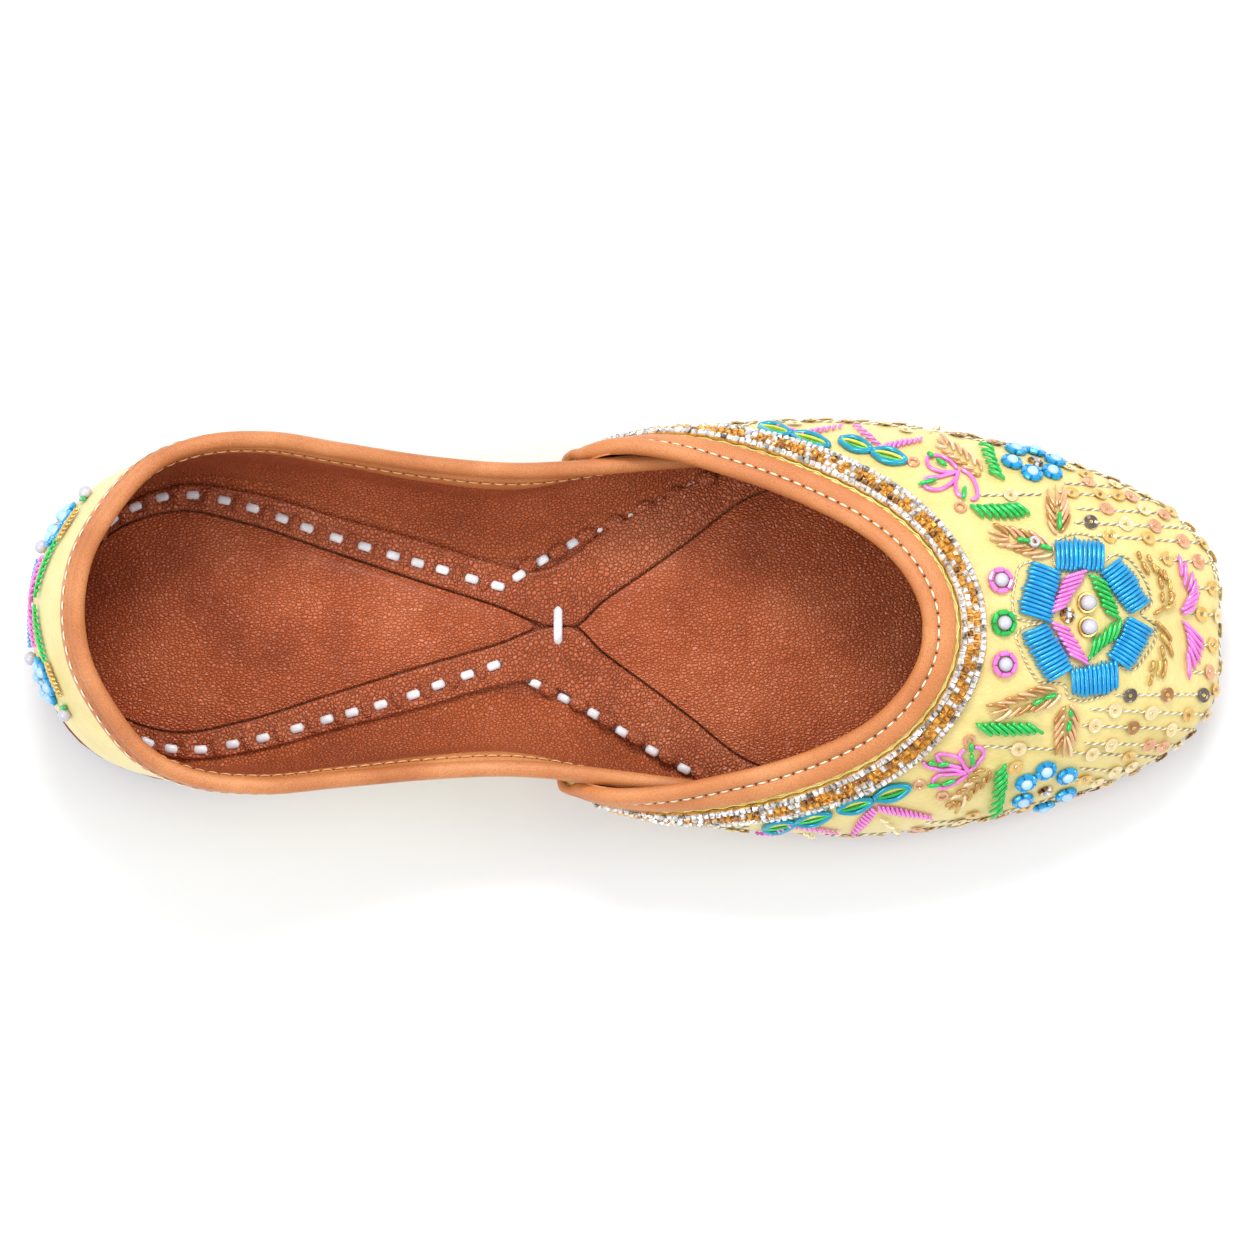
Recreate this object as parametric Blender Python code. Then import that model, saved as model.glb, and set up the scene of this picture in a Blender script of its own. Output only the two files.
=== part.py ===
"""Embroidered slip-on shoe on a straight last, with a low heel and a blunt toe.

Metres, +Z up, toe at +X, origin on the floor under the middle of the shoe.
"""
import math

import bmesh
import bpy
from mathutils import Vector

# Overall sizes
LENGTH = 0.250
BALL_WIDTH = 0.0872
BACK_HEIGHT = 0.0545
THROAT_HEIGHT = 0.0455
THROAT_SKEW = 0.0022
SKEW_START = 0.48
SKEW_RUN = 0.24

# Sole
SOLE_THICKNESS = 0.0045
HEEL_LIFT = 0.0050
HEEL_LENGTH = 0.058
TOE_SPRING = 0.0035
SOLE_ROUNDING = 0.0007
HEEL_INSET = 0.0006
HEEL_BREAST_STEP = 0.0015
HEEL_BREAST_CURVE = 0.0035

# Upper
WALL = 0.0020
EDGE_WALL = 0.0012
SKIVE = 0.0100
LAP_SINK = 0.0007
LAP_STEP = 0.0016
LAP_END = 0.56
LAP_FADE = 0.06
WING_REAR_ROUND = 0.0065
WING_CORNER = 0.30
WING_FOOT_SHARE = 0.075
WING_TUCK = 0.86
WING_INNER_END = 0.575
COLLAR_FRONT = 0.572
COLLAR_COVERED_FROM = 0.44
COVER_FADE = 0.03
FRONT_JOIN = 0.006

# Bindings and the band of stones
BINDING_LEATHER = 0.0007
BINDING_LEG = 0.0056
BINDING_SHORT_LEG = 0.0016
ROLL_RADIUS = 0.0017
LEG_GAP = 0.00045
LEG_END_SHARE = 0.85
LEG_ZONE_SHARE = 1.6
ROLL_SINK_SHARE = 0.35
SEATED_SINK_SHARE = 0.70
SEATED_STEP_SHARE = 0.10
TRIM_WIDTH = 0.0056
TRIM_THICKNESS = 0.0014
TRIM_SETBACK = 0.0011
TRIM_LIFT = 0.0005
TRIM_CORNER_SETBACK = 0.0016
TRIM_CORNER_ROOM = 1.12

# Footbed
INSOLE_THICKNESS = 0.0022
STRIP_THICKNESS = 0.0014
PAD_EDGE = 0.0010
PAD_CLEARANCE = 0.0005
PAD_CROWN = 0.0014

GAP = 0.0003

HALF_LENGTH = LENGTH / 2
HALF_BALL = BALL_WIDTH / 2

# Stations of the quarter from the middle of the back to its front end inside the vamp.
# x shares are of LENGTH from the heel, y shares of half BALL_WIDTH, z shares of BACK_HEIGHT.
# Columns: name, foot x, foot y, belly x, belly y, belly z, top x, top y, top z, fullness
QUARTER = (
    ("back", 0.012, 0.000, 0.001, 0.000, 0.420, 0.0500, 0.000, 1.000, 0.34),
    ("back corner", 0.017, 0.235, 0.007, 0.258, 0.420, 0.0565, 0.245, 0.994, 0.34),
    ("counter rear", 0.036, 0.459, 0.028, 0.491, 0.420, 0.0760, 0.463, 0.974, 0.34),
    ("counter side", 0.070, 0.638, 0.064, 0.681, 0.420, 0.1060, 0.676, 0.942, 0.34),
    ("heel side", 0.128, 0.729, 0.128, 0.787, 0.420, 0.1480, 0.800, 0.905, 0.32),
    ("ankle", 0.192, 0.693, 0.192, 0.798, 0.430, 0.2020, 0.833, 0.858, 0.30),
    ("rear waist", 0.260, 0.573, 0.260, 0.745, 0.410, 0.2640, 0.796, 0.748, 0.30),
    ("waist", 0.332, 0.463, 0.332, 0.677, 0.390, 0.3340, 0.752, 0.640, 0.30),
    ("narrowest", 0.400, 0.427, 0.400, 0.656, 0.380, 0.4000, 0.730, 0.584, 0.32),
    ("under wing", 0.462, 0.505, 0.462, 0.765, 0.375, 0.4620, 0.744, 0.558, 0.40),
    ("inner rear", 0.520, 0.676, 0.520, 0.871, 0.340, 0.5200, 0.770, 0.508, 0.55),
    ("inner mid", 0.568, 0.796, 0.568, 0.925, 0.300, 0.5680, 0.795, 0.458, 0.65),
    ("inner front", 0.612, 0.860, 0.612, 0.946, 0.270, 0.6120, 0.818, 0.410, 0.70),
)

# Stations of the vamp from the rear edge of a wing to the middle of the toe.
# The z shares are of THROAT_HEIGHT.
VAMP = (
    ("wing rear", 0.448, 0.520, 0.451, 0.795, 0.480, 0.464, 0.836, 0.650, 0.42),
    ("wing", 0.486, 0.612, 0.486, 0.862, 0.450, 0.494, 0.852, 0.694, 0.50),
    ("wing front", 0.532, 0.748, 0.532, 0.929, 0.405, 0.534, 0.822, 0.726, 0.62),
    ("side", 0.580, 0.852, 0.580, 0.970, 0.360, 0.580, 0.752, 0.764, 0.74),
    ("side ball", 0.632, 0.922, 0.632, 0.993, 0.335, 0.624, 0.674, 0.808, 0.80),
    ("ball", 0.688, 0.954, 0.688, 0.999, 0.320, 0.664, 0.580, 0.856, 0.80),
    ("toes", 0.752, 0.927, 0.752, 0.969, 0.315, 0.694, 0.488, 0.900, 0.76),
    ("toe side", 0.816, 0.854, 0.816, 0.899, 0.315, 0.714, 0.400, 0.940, 0.68),
    ("toe shoulder", 0.876, 0.750, 0.878, 0.798, 0.315, 0.729, 0.304, 0.970, 0.58),
    ("toe corner", 0.928, 0.620, 0.931, 0.672, 0.320, 0.739, 0.212, 0.988, 0.50),
    ("toe round", 0.965, 0.482, 0.969, 0.532, 0.325, 0.745, 0.130, 0.996, 0.44),
    ("toe front", 0.986, 0.308, 0.9945, 0.350, 0.330, 0.7475, 0.064, 1.000, 0.41),
    ("toe", 0.992, 0.000, 1.000, 0.000, 0.330, 0.748, 0.000, 1.000, 0.40),
)

# Outline of the sole, shares of LENGTH and of half BALL_WIDTH.
SOLE_OUTLINE = (
    ("heel", 0.000, 0.000),
    ("heel rear", 0.004, 0.215),
    ("heel corner", 0.018, 0.456),
    ("heel quarter", 0.037, 0.588),
    ("seat rear", 0.072, 0.707),
    ("seat", 0.128, 0.778),
    ("breast", 0.192, 0.744),
    ("rear arch", 0.260, 0.628),
    ("arch", 0.332, 0.506),
    ("waist", 0.400, 0.468),
    ("front arch", 0.448, 0.556),
    ("joint rear", 0.490, 0.660),
    ("joint", 0.532, 0.782),
    ("tread rear", 0.580, 0.886),
    ("tread", 0.632, 0.954),
    ("ball", 0.688, 0.983),
    ("toes", 0.752, 0.955),
    ("toe side", 0.816, 0.884),
    ("toe shoulder", 0.878, 0.779),
    ("toe corner", 0.931, 0.648),
    ("toe round", 0.967, 0.500),
    ("toe front", 0.990, 0.326),
    ("toe", 0.997, 0.000),
)

# Height of the underside: share of LENGTH, share of the heel's height, share of TOE_SPRING.
SOLE_RISE = (
    ("heel", 0.000, 1.00, 0.00),
    ("seat", 0.235, 1.00, 0.00),
    ("rear arch", 0.300, 0.93, 0.00),
    ("arch", 0.380, 0.66, 0.00),
    ("front arch", 0.460, 0.30, 0.00),
    ("tread rear", 0.530, 0.06, 0.00),
    ("tread", 0.570, 0.00, 0.00),
    ("tread front", 0.820, 0.00, 0.00),
    ("toes", 0.880, 0.00, 0.16),
    ("toe shoulder", 0.940, 0.00, 0.50),
    ("toe", 1.000, 0.00, 1.00),
)

# Front part of the forefoot pad, shares of LENGTH and of half BALL_WIDTH.
FOREFOOT_FRONT = (
    ("ball", 0.672, 0.800),
    ("toes", 0.740, 0.810),
    ("toe side", 0.816, 0.740),
    ("toe shoulder", 0.872, 0.625),
    ("toe corner", 0.920, 0.470),
    ("toe round", 0.948, 0.260),
    ("toe", 0.956, 0.000),
)

# The strip round the pads: inner edge x, y and outer edge x, y, from the back to its front end.
STRIP = (
    ("back", 0.0340, 0.000, 0.024, 0.000),
    ("back corner", 0.0375, 0.246, 0.029, 0.232),
    ("rear", 0.0600, 0.424, 0.047, 0.438),
    ("side", 0.0910, 0.513, 0.078, 0.578),
    ("widest", 0.1200, 0.544, 0.122, 0.664),
    ("seat", 0.1730, 0.492, 0.176, 0.634),
    ("rear arch", 0.2510, 0.350, 0.256, 0.512),
    ("arch", 0.3270, 0.209, 0.332, 0.396),
    ("waist", 0.3920, 0.094, 0.388, 0.300),
    ("crossing", 0.4350, 0.0052, 0.424, 0.268),
    ("front of crossing", 0.4540, 0.0052, 0.450, 0.330),
    ("joint rear", 0.4780, 0.124, 0.476, 0.450),
    ("joint", 0.5125, 0.266, 0.508, 0.560),
    ("tread rear", 0.5540, 0.440, 0.542, 0.672),
    ("front end", 0.6000, 0.640, 0.580, 0.764),
)

MATERIALS = {
    "outsole": ((0.42, 0.25, 0.13), 0.62),
    "heel_lift": ((0.33, 0.18, 0.09), 0.60),
    "upper": ((0.86, 0.74, 0.36), 0.70),
    "vamp_sheet": ((0.86, 0.74, 0.36), 0.70),
    "collar_binding": ((0.73, 0.36, 0.14), 0.48),
    "vamp_binding": ((0.78, 0.40, 0.18), 0.48),
    "throat_trim": ((0.80, 0.66, 0.40), 0.30),
    "insole": ((0.42, 0.13, 0.05), 0.50),
    "heel_pad": ((0.40, 0.12, 0.045), 0.42),
    "forefoot_pad": ((0.43, 0.14, 0.055), 0.40),
    "footbed_strip": ((0.38, 0.11, 0.04), 0.40),
}

QUARTER_COLUMNS = 3
VAMP_COLUMNS = 3
STRIP_COLUMNS = 2
ROWS_OVER_BELLY = 3
LOW_BELLY_SHARE = 0.80
LEG_STEPS = 2
ROLL_STEPS = 4
TRIM_REAR_STEPS = 5
WING_REAR_STEPS = 9
HEEL_BREAST_STEPS = 4
WALK_STEP = 0.0007
SMALL = 0.002


def hermite(knots, values, at):
    """Smooth curve through the values, which are numbers or vectors, at rising knots."""
    last = len(knots) - 1
    at = min(max(at, knots[0]), knots[last])
    index = 0
    while index < last - 1 and at > knots[index + 1]:
        index += 1
    span = knots[index + 1] - knots[index]
    share = (at - knots[index]) / span
    slopes = []
    for i in (index, index + 1):
        low = max(i - 1, 0)
        high = min(i + 1, last)
        if low == i or high == i:
            slopes.append((values[high] - values[low]) / (knots[high] - knots[low]))
            continue
        before = (values[i] - values[low]) / (knots[i] - knots[low])
        after = (values[high] - values[i]) / (knots[high] - knots[i])
        weight = (knots[high] - knots[i]) / (knots[high] - knots[low])
        slopes.append(before * weight + after * (1 - weight))
    square = share * share
    cube = square * share
    start = values[index] * (2 * cube - 3 * square + 1) + slopes[0] * span * (cube - 2 * square + share)
    return start + values[index + 1] * (3 * square - 2 * cube) + slopes[1] * span * (cube - square)


def smooth_step(share):
    share = min(max(share, 0.0), 1.0)
    return share * share * (3 - 2 * share)


def from_heel(share):
    return share * LENGTH - HALF_LENGTH


def sole_bottom(x):
    """Height of the sole's underside above the floor."""
    knots = [from_heel(row[1]) for row in SOLE_RISE]
    heights = [row[2] * (HEEL_LIFT + GAP) + row[3] * TOE_SPRING for row in SOLE_RISE]
    places = {row[0]: from_heel(row[1]) for row in SOLE_RISE}
    if places["tread"] <= x <= places["tread front"]:
        return 0.0
    if x <= places["seat"]:
        return HEEL_LIFT + GAP
    return max(hermite(knots, heights, x), 0.0)


def sole_top(x):
    return sole_bottom(x) + SOLE_THICKNESS


def insole_top(x):
    return sole_top(x) + GAP + INSOLE_THICKNESS


class Sheet:
    """Smooth outer face of a leather sheet. u runs along the stations and v from the foot up."""

    def __init__(self, rows, height, mirrored_at, has_rear, columns):
        self.columns_per_station = columns
        half = []
        for row in rows:
            half.append(self.control_points(row, height))
        reflected = []
        for points in half:
            reflected.append([Vector((p.x, -p.y, p.z)) for p in points])
        if mirrored_at == "first":
            stations = list(reversed(reflected[1:])) + half
        else:
            stations = half + list(reversed(reflected[:-1]))
        if has_rear:
            stations = [self.skewed(points) for points in stations]
        self.stations = stations
        self.has_rear = has_rear
        knots = [0.0]
        for before, after in zip(stations, stations[1:]):
            step = ((after[1] - before[1]).length + (after[4] - before[4]).length) / 2
            knots.append(knots[-1] + step)
        self.knots = [k / knots[-1] for k in knots]

    @staticmethod
    def control_points(row, height):
        foot_x = from_heel(row[1])
        foot = Vector((foot_x, row[2] * HALF_BALL, sole_top(foot_x) + GAP))
        belly = Vector((from_heel(row[3]), row[4] * HALF_BALL, row[5] * height))
        top = Vector((from_heel(row[6]), row[7] * HALF_BALL, row[8] * height))
        points = [foot, belly]
        for run in (0.15, 0.50):
            arch = math.sqrt(1 - (1 - run) ** 2)
            rise = run * (1 - row[9]) + arch * row[9]
            point = belly.lerp(top, run)
            point.z = belly.z + (top.z - belly.z) * rise
            points.append(point)
        points.append(top)
        return points

    @staticmethod
    def skewed(points):
        """The throat lies a little to one side, more so towards its front."""
        moved = []
        for share, point in zip((0.0, 0.0, 0.3, 0.7, 1.0), points):
            along = smooth_step(((points[4].x + HALF_LENGTH) / LENGTH - SKEW_START) / SKEW_RUN)
            moved.append(Vector((point.x, point.y - THROAT_SKEW * share * along, point.z)))
        return moved

    def profile(self, u):
        points = []
        for index in range(5):
            points.append(hermite(self.knots, [s[index] for s in self.stations], u))
        lengths = [0.0]
        for before, after in zip(points, points[1:]):
            lengths.append(lengths[-1] + (after - before).length)
        return points, lengths

    def height_along(self, u):
        return self.profile(u)[1][-1]

    def point(self, u, v):
        points, lengths = self.profile(u)
        return hermite(lengths, points, v * lengths[-1])

    def slopes(self, u, v):
        low_u = max(u - SMALL, 0.0)
        high_u = min(u + SMALL, 1.0)
        low_v = max(v - SMALL, 0.0)
        high_v = min(v + SMALL, 1.0)
        along = (self.point(high_u, v) - self.point(low_u, v)) / (high_u - low_u)
        up = (self.point(u, high_v) - self.point(u, low_v)) / (high_v - low_v)
        return along, up

    def normal(self, u, v):
        along, up = self.slopes(u, v)
        normal = along.cross(up)
        normal.normalize()
        return normal * self.facing

    def set_facing(self):
        self.facing = 1
        along = self.knots[len(self.knots) // 4]
        if self.normal(along, 0.5).y * self.point(along, 0.5).y < 0:
            self.facing = -1

    def rear_start(self, v):
        """u of the wing's rear edge, with its top corner rounded off."""
        if not self.has_rear or v <= 1 - WING_CORNER:
            return 0.0
        share = (v - 1 + WING_CORNER) / WING_CORNER
        return self.corner_u() * (1 - math.sqrt(max(1 - share * share, 0.0)))

    def corner_u(self):
        top = [s[4] for s in self.stations]
        return WING_REAR_ROUND / (top[1] - top[0]).length * self.knots[1]

    def wall_at(self, u, v):
        depth = (1 - v) * self.height_along(u)
        full = WALL
        if self.has_rear:
            share = (self.point(u, v).x + HALF_LENGTH) / LENGTH
            full += LAP_SINK * (1 - smooth_step((share - LAP_END) / LAP_FADE))
        return EDGE_WALL + (full - EDGE_WALL) * smooth_step(depth / SKIVE)

    def offset(self, u, v, distance):
        return self.point(u, v) + self.normal(u, v) * distance

    def walk(self, u, v, direction, distance):
        """Go a distance over the surface from u, v and give the u, v reached."""
        remaining = distance
        heading = direction.copy()
        while remaining > 1e-7:
            step = min(WALK_STEP, remaining)
            along, up = self.slopes(u, v)
            normal = self.normal(u, v)
            heading = heading - normal * heading.dot(normal)
            heading.normalize()
            aa = along.dot(along)
            ab = along.dot(up)
            bb = up.dot(up)
            ha = heading.dot(along)
            hb = heading.dot(up)
            det = aa * bb - ab * ab
            u += step * (ha * bb - hb * ab) / det
            v += step * (hb * aa - ha * ab) / det
            u = min(max(u, 0.0), 1.0)
            v = min(max(v, 0.0), 1.0)
            remaining -= step
        return u, v


def make_object(name, verts, faces, smooth_angle=0.6):
    mesh = bpy.data.meshes.new(name)
    mesh.from_pydata([tuple(v) for v in verts], [], faces)
    graph = bmesh.new()
    graph.from_mesh(mesh)
    bmesh.ops.remove_doubles(graph, verts=graph.verts, dist=1e-6)
    bmesh.ops.recalc_face_normals(graph, faces=graph.faces)
    graph.to_mesh(mesh)
    graph.free()
    mesh.shade_smooth()
    mesh.set_sharp_from_angle(angle=smooth_angle)
    colour, roughness = MATERIALS[name]
    material = bpy.data.materials.new(name)
    material.use_nodes = True
    shader = material.node_tree.nodes["Principled BSDF"]
    shader.inputs["Base Color"].default_value = (*colour, 1.0)
    shader.inputs["Roughness"].default_value = roughness
    shader.inputs["Metallic"].default_value = 0.0
    mesh.materials.append(material)
    thing = bpy.data.objects.new(name, mesh)
    bpy.context.scene.collection.objects.link(thing)
    return thing


def grid_faces(columns, rows, closed_rows=False):
    faces = []
    across = rows if closed_rows else rows - 1
    for i in range(columns - 1):
        for j in range(across):
            k = (j + 1) % rows
            faces.append((i * rows + j, (i + 1) * rows + j, (i + 1) * rows + k, i * rows + k))
    return faces


def spread(knots, per_station):
    values = []
    for low, high in zip(knots, knots[1:]):
        for i in range(per_station):
            values.append(low + (high - low) * i / per_station)
    values.append(knots[-1])
    return values


def sheet_rows(sheet, u):
    """v of each row: the foot, the belly, and close together under the top edge."""
    lengths = sheet.profile(u)[1]
    height = lengths[-1]
    lowest = 1 - BINDING_LEG * LEG_ZONE_SHARE / height
    belly = min(lengths[1] / height, lowest * LOW_BELLY_SHARE)
    values = [0.0, belly / 2]
    for i in range(ROWS_OVER_BELLY):
        values.append(belly + (lowest - belly) * i / ROWS_OVER_BELLY)
    values.append(lowest)
    for k in range(LEG_STEPS, -1, -1):
        values.append(1 - BINDING_LEG * k / LEG_STEPS / height)
    return values


def sheet_solid(name, sheet):
    """Closed wall between the outer face and the lining side."""
    columns = spread(sheet.knots, sheet.columns_per_station)
    sections = []
    for u in columns:
        section = []
        rows = sheet_rows(sheet, u)
        for v in rows:
            at = u
            if sheet.has_rear:
                start = sheet.rear_start(v)
                at = start + (1 - 2 * start) * u
            section.append((at, v))
        sections.append(section)
    verts = []
    for section in sections:
        outer = [sheet.point(u, v) for u, v in section]
        inner = [sheet.offset(u, v, -sheet.wall_at(u, v)) for u, v in section]
        inner[0].z = outer[0].z
        verts.extend(outer + list(reversed(inner)))
    rows = len(sections[0]) * 2
    faces = grid_faces(len(sections), rows, closed_rows=True)
    for base in (0, (len(sections) - 1) * rows):
        for j in range(rows // 2 - 1):
            faces.append((base + j, base + j + 1, base + rows - 2 - j, base + rows - 1 - j))
    return make_object(name, verts, faces, 0.9)


def edge_path(sheet):
    """u, v along the bound edge, with the rear edges of the wings where there are any."""
    path = []
    if sheet.has_rear:
        rear = []
        for i in range(WING_REAR_STEPS + 1):
            v = max(i / WING_REAR_STEPS, WING_FOOT_SHARE)
            turned = (v - 1 + WING_CORNER) / WING_CORNER
            if turned > 0:
                v = 1 - WING_CORNER + WING_CORNER * math.sin(turned * math.pi / 2)
            rear.append((sheet.rear_start(v), v))
        start = rear[-1][0]
        path.extend(rear[:-1])
        for u in spread(sheet.knots, sheet.columns_per_station):
            path.append((start + (1 - 2 * start) * u, 1.0))
        path.extend((1 - u, v) for u, v in reversed(rear[:-1]))
    else:
        for u in spread(sheet.knots, sheet.columns_per_station):
            path.append((u, 1.0))
    return path


def edge_frames(sheet, path):
    """For each place on the edge: the place, the outward normal and the way into the sheet."""
    places = [sheet.point(u, v) for u, v in path]
    frames = []
    last = len(path) - 1
    for i, (u, v) in enumerate(path):
        tangent = places[min(i + 1, last)] - places[max(i - 1, 0)]
        tangent.normalize()
        normal = sheet.normal(u, v)
        inward = normal.cross(tangent)
        inward.normalize()
        frames.append((places[i], normal, inward))
    if frames[last // 2][2].z > 0:
        frames = [(place, normal, -inward) for place, normal, inward in frames]
    return frames


def leg_places(sheet, u, v, inward, leg):
    places = []
    done = 0.0
    for k in range(1, LEG_STEPS + 1):
        goal = leg * k / LEG_STEPS
        u, v = sheet.walk(u, v, inward, goal - done)
        done = goal
        places.append((u, v))
    return places


def arc(centre, normal, inward, radius):
    points = []
    for k in range(ROLL_STEPS + 1):
        angle = math.pi * k / ROLL_STEPS
        points.append(centre + normal * (radius * math.cos(angle)) - inward * (radius * math.sin(angle)))
    return points


def inner_half(sheet, u, v, frame, kind, leg):
    """Roll and inner side of a folded edge, as far as the slot that the sheet sits in."""
    place, normal, inward = frame
    edge_wall = sheet.wall_at(u, v)
    if kind == "seated":
        seat = LAP_STEP - 2 * LEG_GAP
        radius = (seat + LEG_GAP + BINDING_LEATHER) / 2
        centre = place + normal * (radius - seat) - inward * (radius * SEATED_SINK_SHARE)
        points = arc(centre, normal, inward, radius)
        corner = place - normal * seat
        points.append(corner - inward * (radius * ROLL_SINK_SHARE))
        for k in range(LEG_STEPS - 1):
            points.append(corner - inward * (GAP + radius * SEATED_STEP_SHARE * (LEG_STEPS - 1 - k)))
        for k in range(LEG_STEPS):
            rise = seat * (k + 0.5) / LEG_STEPS
            points.append(corner + normal * rise - inward * GAP)
        points.append(place - inward * GAP)
        return points
    centre = place - normal * (edge_wall / 2) + inward * (ROLL_RADIUS * ROLL_SINK_SHARE)
    points = arc(centre, normal, inward, ROLL_RADIUS)
    depth = edge_wall + LEG_GAP
    if kind == "tucked":
        for k in range(LEG_STEPS):
            share = (k + 1) / LEG_STEPS
            points.append(place - normal * (depth + BINDING_LEATHER) + inward * (GAP * (1 - 2 * share)))
        for k in range(LEG_STEPS):
            share = (k + 1) / (LEG_STEPS + 1)
            lift = BINDING_LEATHER * (1 - share)
            points.append(place - normal * (depth + lift) - inward * GAP)
    else:
        places = leg_places(sheet, u, v, inward, leg)
        for at_u, at_v in places:
            end = LEG_END_SHARE if (at_u, at_v) == places[-1] else 1.0
            extra = (LEG_GAP + BINDING_LEATHER) * end
            points.append(sheet.offset(at_u, at_v, -sheet.wall_at(at_u, at_v) - extra))
        for at_u, at_v in reversed(places):
            points.append(sheet.offset(at_u, at_v, -sheet.wall_at(at_u, at_v) - LEG_GAP))
    points.append(place - normal * depth - inward * GAP)
    return points


def binding(name, sheet, path, outer_legs, inner_legs, kinds):
    """Folded strip of leather: a roll over the edge and a leg on each face."""
    frames = edge_frames(sheet, path)
    sections = []
    for k, (u, v) in enumerate(path):
        place, normal, inward = frames[k]
        outside = leg_places(sheet, u, v, inward, outer_legs[k])
        section = []
        for entry in reversed(outside):
            end = LEG_END_SHARE if entry is outside[-1] else 1.0
            section.append(sheet.offset(*entry, (LEG_GAP + BINDING_LEATHER) * end))
        section.extend(inner_half(sheet, u, v, frames[k], kinds[k], inner_legs[k]))
        section.append(place + normal * LEG_GAP - inward * GAP)
        for entry in outside:
            section.append(sheet.offset(*entry, LEG_GAP))
        sections.append(section)
    rows = len(sections[0])
    flat = [point for section in sections for point in section]
    faces = grid_faces(len(sections), rows, closed_rows=True)
    faces.extend(binding_ends(len(sections), rows))
    return make_object(name, flat, faces, 0.8)


def binding_ends(columns, rows):
    """Close both ends of a folded strip with strips across each leg and the roll."""
    faces = []
    legs = LEG_STEPS
    for base in (0, (columns - 1) * rows):
        roll_first = legs
        roll_last = legs + ROLL_STEPS
        inner_outer_last = roll_last + legs
        slot_inside = inner_outer_last + legs + 1
        slot_outside = slot_inside + 1
        outer_face = list(range(0, legs))
        outer_back = list(range(rows - 1, slot_outside, -1))
        for j in range(legs - 1):
            faces.append((base + outer_face[j], base + outer_face[j + 1],
                          base + outer_back[j + 1], base + outer_back[j]))
        faces.append((base + outer_face[-1], base + roll_first,
                      base + slot_outside, base + outer_back[-1]))
        inner_face = list(range(roll_last + 1, inner_outer_last + 1))
        inner_back = list(range(slot_inside - 1, inner_outer_last, -1))
        faces.append((base + roll_last, base + inner_face[0], base + inner_back[0], base + slot_inside))
        for j in range(legs - 1):
            faces.append((base + inner_face[j], base + inner_face[j + 1],
                          base + inner_back[j + 1], base + inner_back[j]))
        middle = (roll_first + roll_last) // 2
        for j in range(roll_first, middle):
            faces.append((base + j, base + j + 1, base + slot_outside))
        faces.append((base + middle, base + slot_inside, base + slot_outside))
        for j in range(middle, roll_last):
            faces.append((base + j, base + j + 1, base + slot_inside))
    return faces


def place_from_rear(sheet, v, distance):
    """u at a distance from the wing's rear edge, along a row."""
    low = 0.0
    high = 0.5
    start = sheet.point(0.0, v)
    for _ in range(24):
        middle = (low + high) / 2
        if (sheet.point(middle, v) - start).length < distance:
            low = middle
        else:
            high = middle
    return low


def corner_place(sheet, distance):
    """The place at one distance from the wing's top edge and from its rear edge."""
    v = 1.0
    u = 0.0
    for _ in range(6):
        u = place_from_rear(sheet, v, distance)
        v = 1 - distance / sheet.height_along(u)
    return u, v


def trim_band(name, sheet, path):
    """Band of stones along the throat, mitred at each wing's corner and run down its rear."""
    frames = edge_frames(sheet, path)
    setback = BINDING_LEG + TRIM_SETBACK
    across = (setback, setback + TRIM_WIDTH / 2, setback + TRIM_WIDTH)
    mitre = [corner_place(sheet, distance + TRIM_CORNER_SETBACK) for distance in across]
    rear = []
    for k in range(TRIM_REAR_STEPS):
        section = []
        for distance, (_, top_v) in zip(across, mitre):
            v = WING_FOOT_SHARE + (top_v - WING_FOOT_SHARE) * k / TRIM_REAR_STEPS
            section.append((place_from_rear(sheet, v, distance), v))
        rear.append(section)
    left = rear + [mitre]
    along = []
    start = mitre[-1][0] * TRIM_CORNER_ROOM
    for (u, v), (_, _, inward) in zip(path, frames):
        if not start < u < 1 - start:
            continue
        places = []
        at_u, at_v = u, v
        done = 0.0
        for distance in across:
            at_u, at_v = sheet.walk(at_u, at_v, inward, distance - done)
            done = distance
            places.append((at_u, at_v))
        along.append(places)
    right = [[(1 - u, v) for u, v in section] for section in reversed(left)]
    sections = []
    for low in left + along + right:
        under = [sheet.offset(a, b, TRIM_LIFT) for a, b in low]
        over = [sheet.offset(a, b, TRIM_LIFT + TRIM_THICKNESS) for a, b in reversed(low)]
        sections.append(under + over)
    rows = len(sections[0])
    flat = [point for section in sections for point in section]
    faces = grid_faces(len(sections), rows, closed_rows=True)
    for base in (0, (len(sections) - 1) * rows):
        faces.append((base + 0, base + 1, base + 4, base + 5))
        faces.append((base + 1, base + 2, base + 3, base + 4))
    return make_object(name, flat, faces, 0.8)


def outline_points(rows, per_station):
    """Left half of an outline as plan points from the first row to the last."""
    places = [Vector((from_heel(row[1]), row[2] * HALF_BALL, 0.0)) for row in rows]
    knots = [0.0]
    for before, after in zip(places, places[1:]):
        knots.append(knots[-1] + (after - before).length)
    first = Vector((places[1].x, -places[1].y, 0.0))
    end = Vector((places[-2].x, -places[-2].y, 0.0))
    wide = [first] + places + [end]
    wide_knots = [-knots[1]] + knots + [2 * knots[-1] - knots[-2]]
    points = []
    for at in spread(knots, per_station):
        point = hermite(wide_knots, wide, at)
        point.y = max(point.y, 0.0)
        points.append(point)
    return points


def inset_outline(points, distance):
    """Move each point of a left half outline inwards by a distance."""
    moved = []
    last = len(points) - 1
    for i, point in enumerate(points):
        before = points[i - 1] if i else Vector((points[1].x, -points[1].y, 0.0))
        after = points[i + 1] if i < last else Vector((points[-2].x, -points[-2].y, 0.0))
        tangent = after - before
        tangent.normalize()
        normal = Vector((tangent.y, -tangent.x, 0.0))
        place = point + normal * distance
        if i in (0, last):
            place.y = 0.0
        moved.append(Vector((place.x, max(place.y, 0.0), 0.0)))
    return moved


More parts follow.
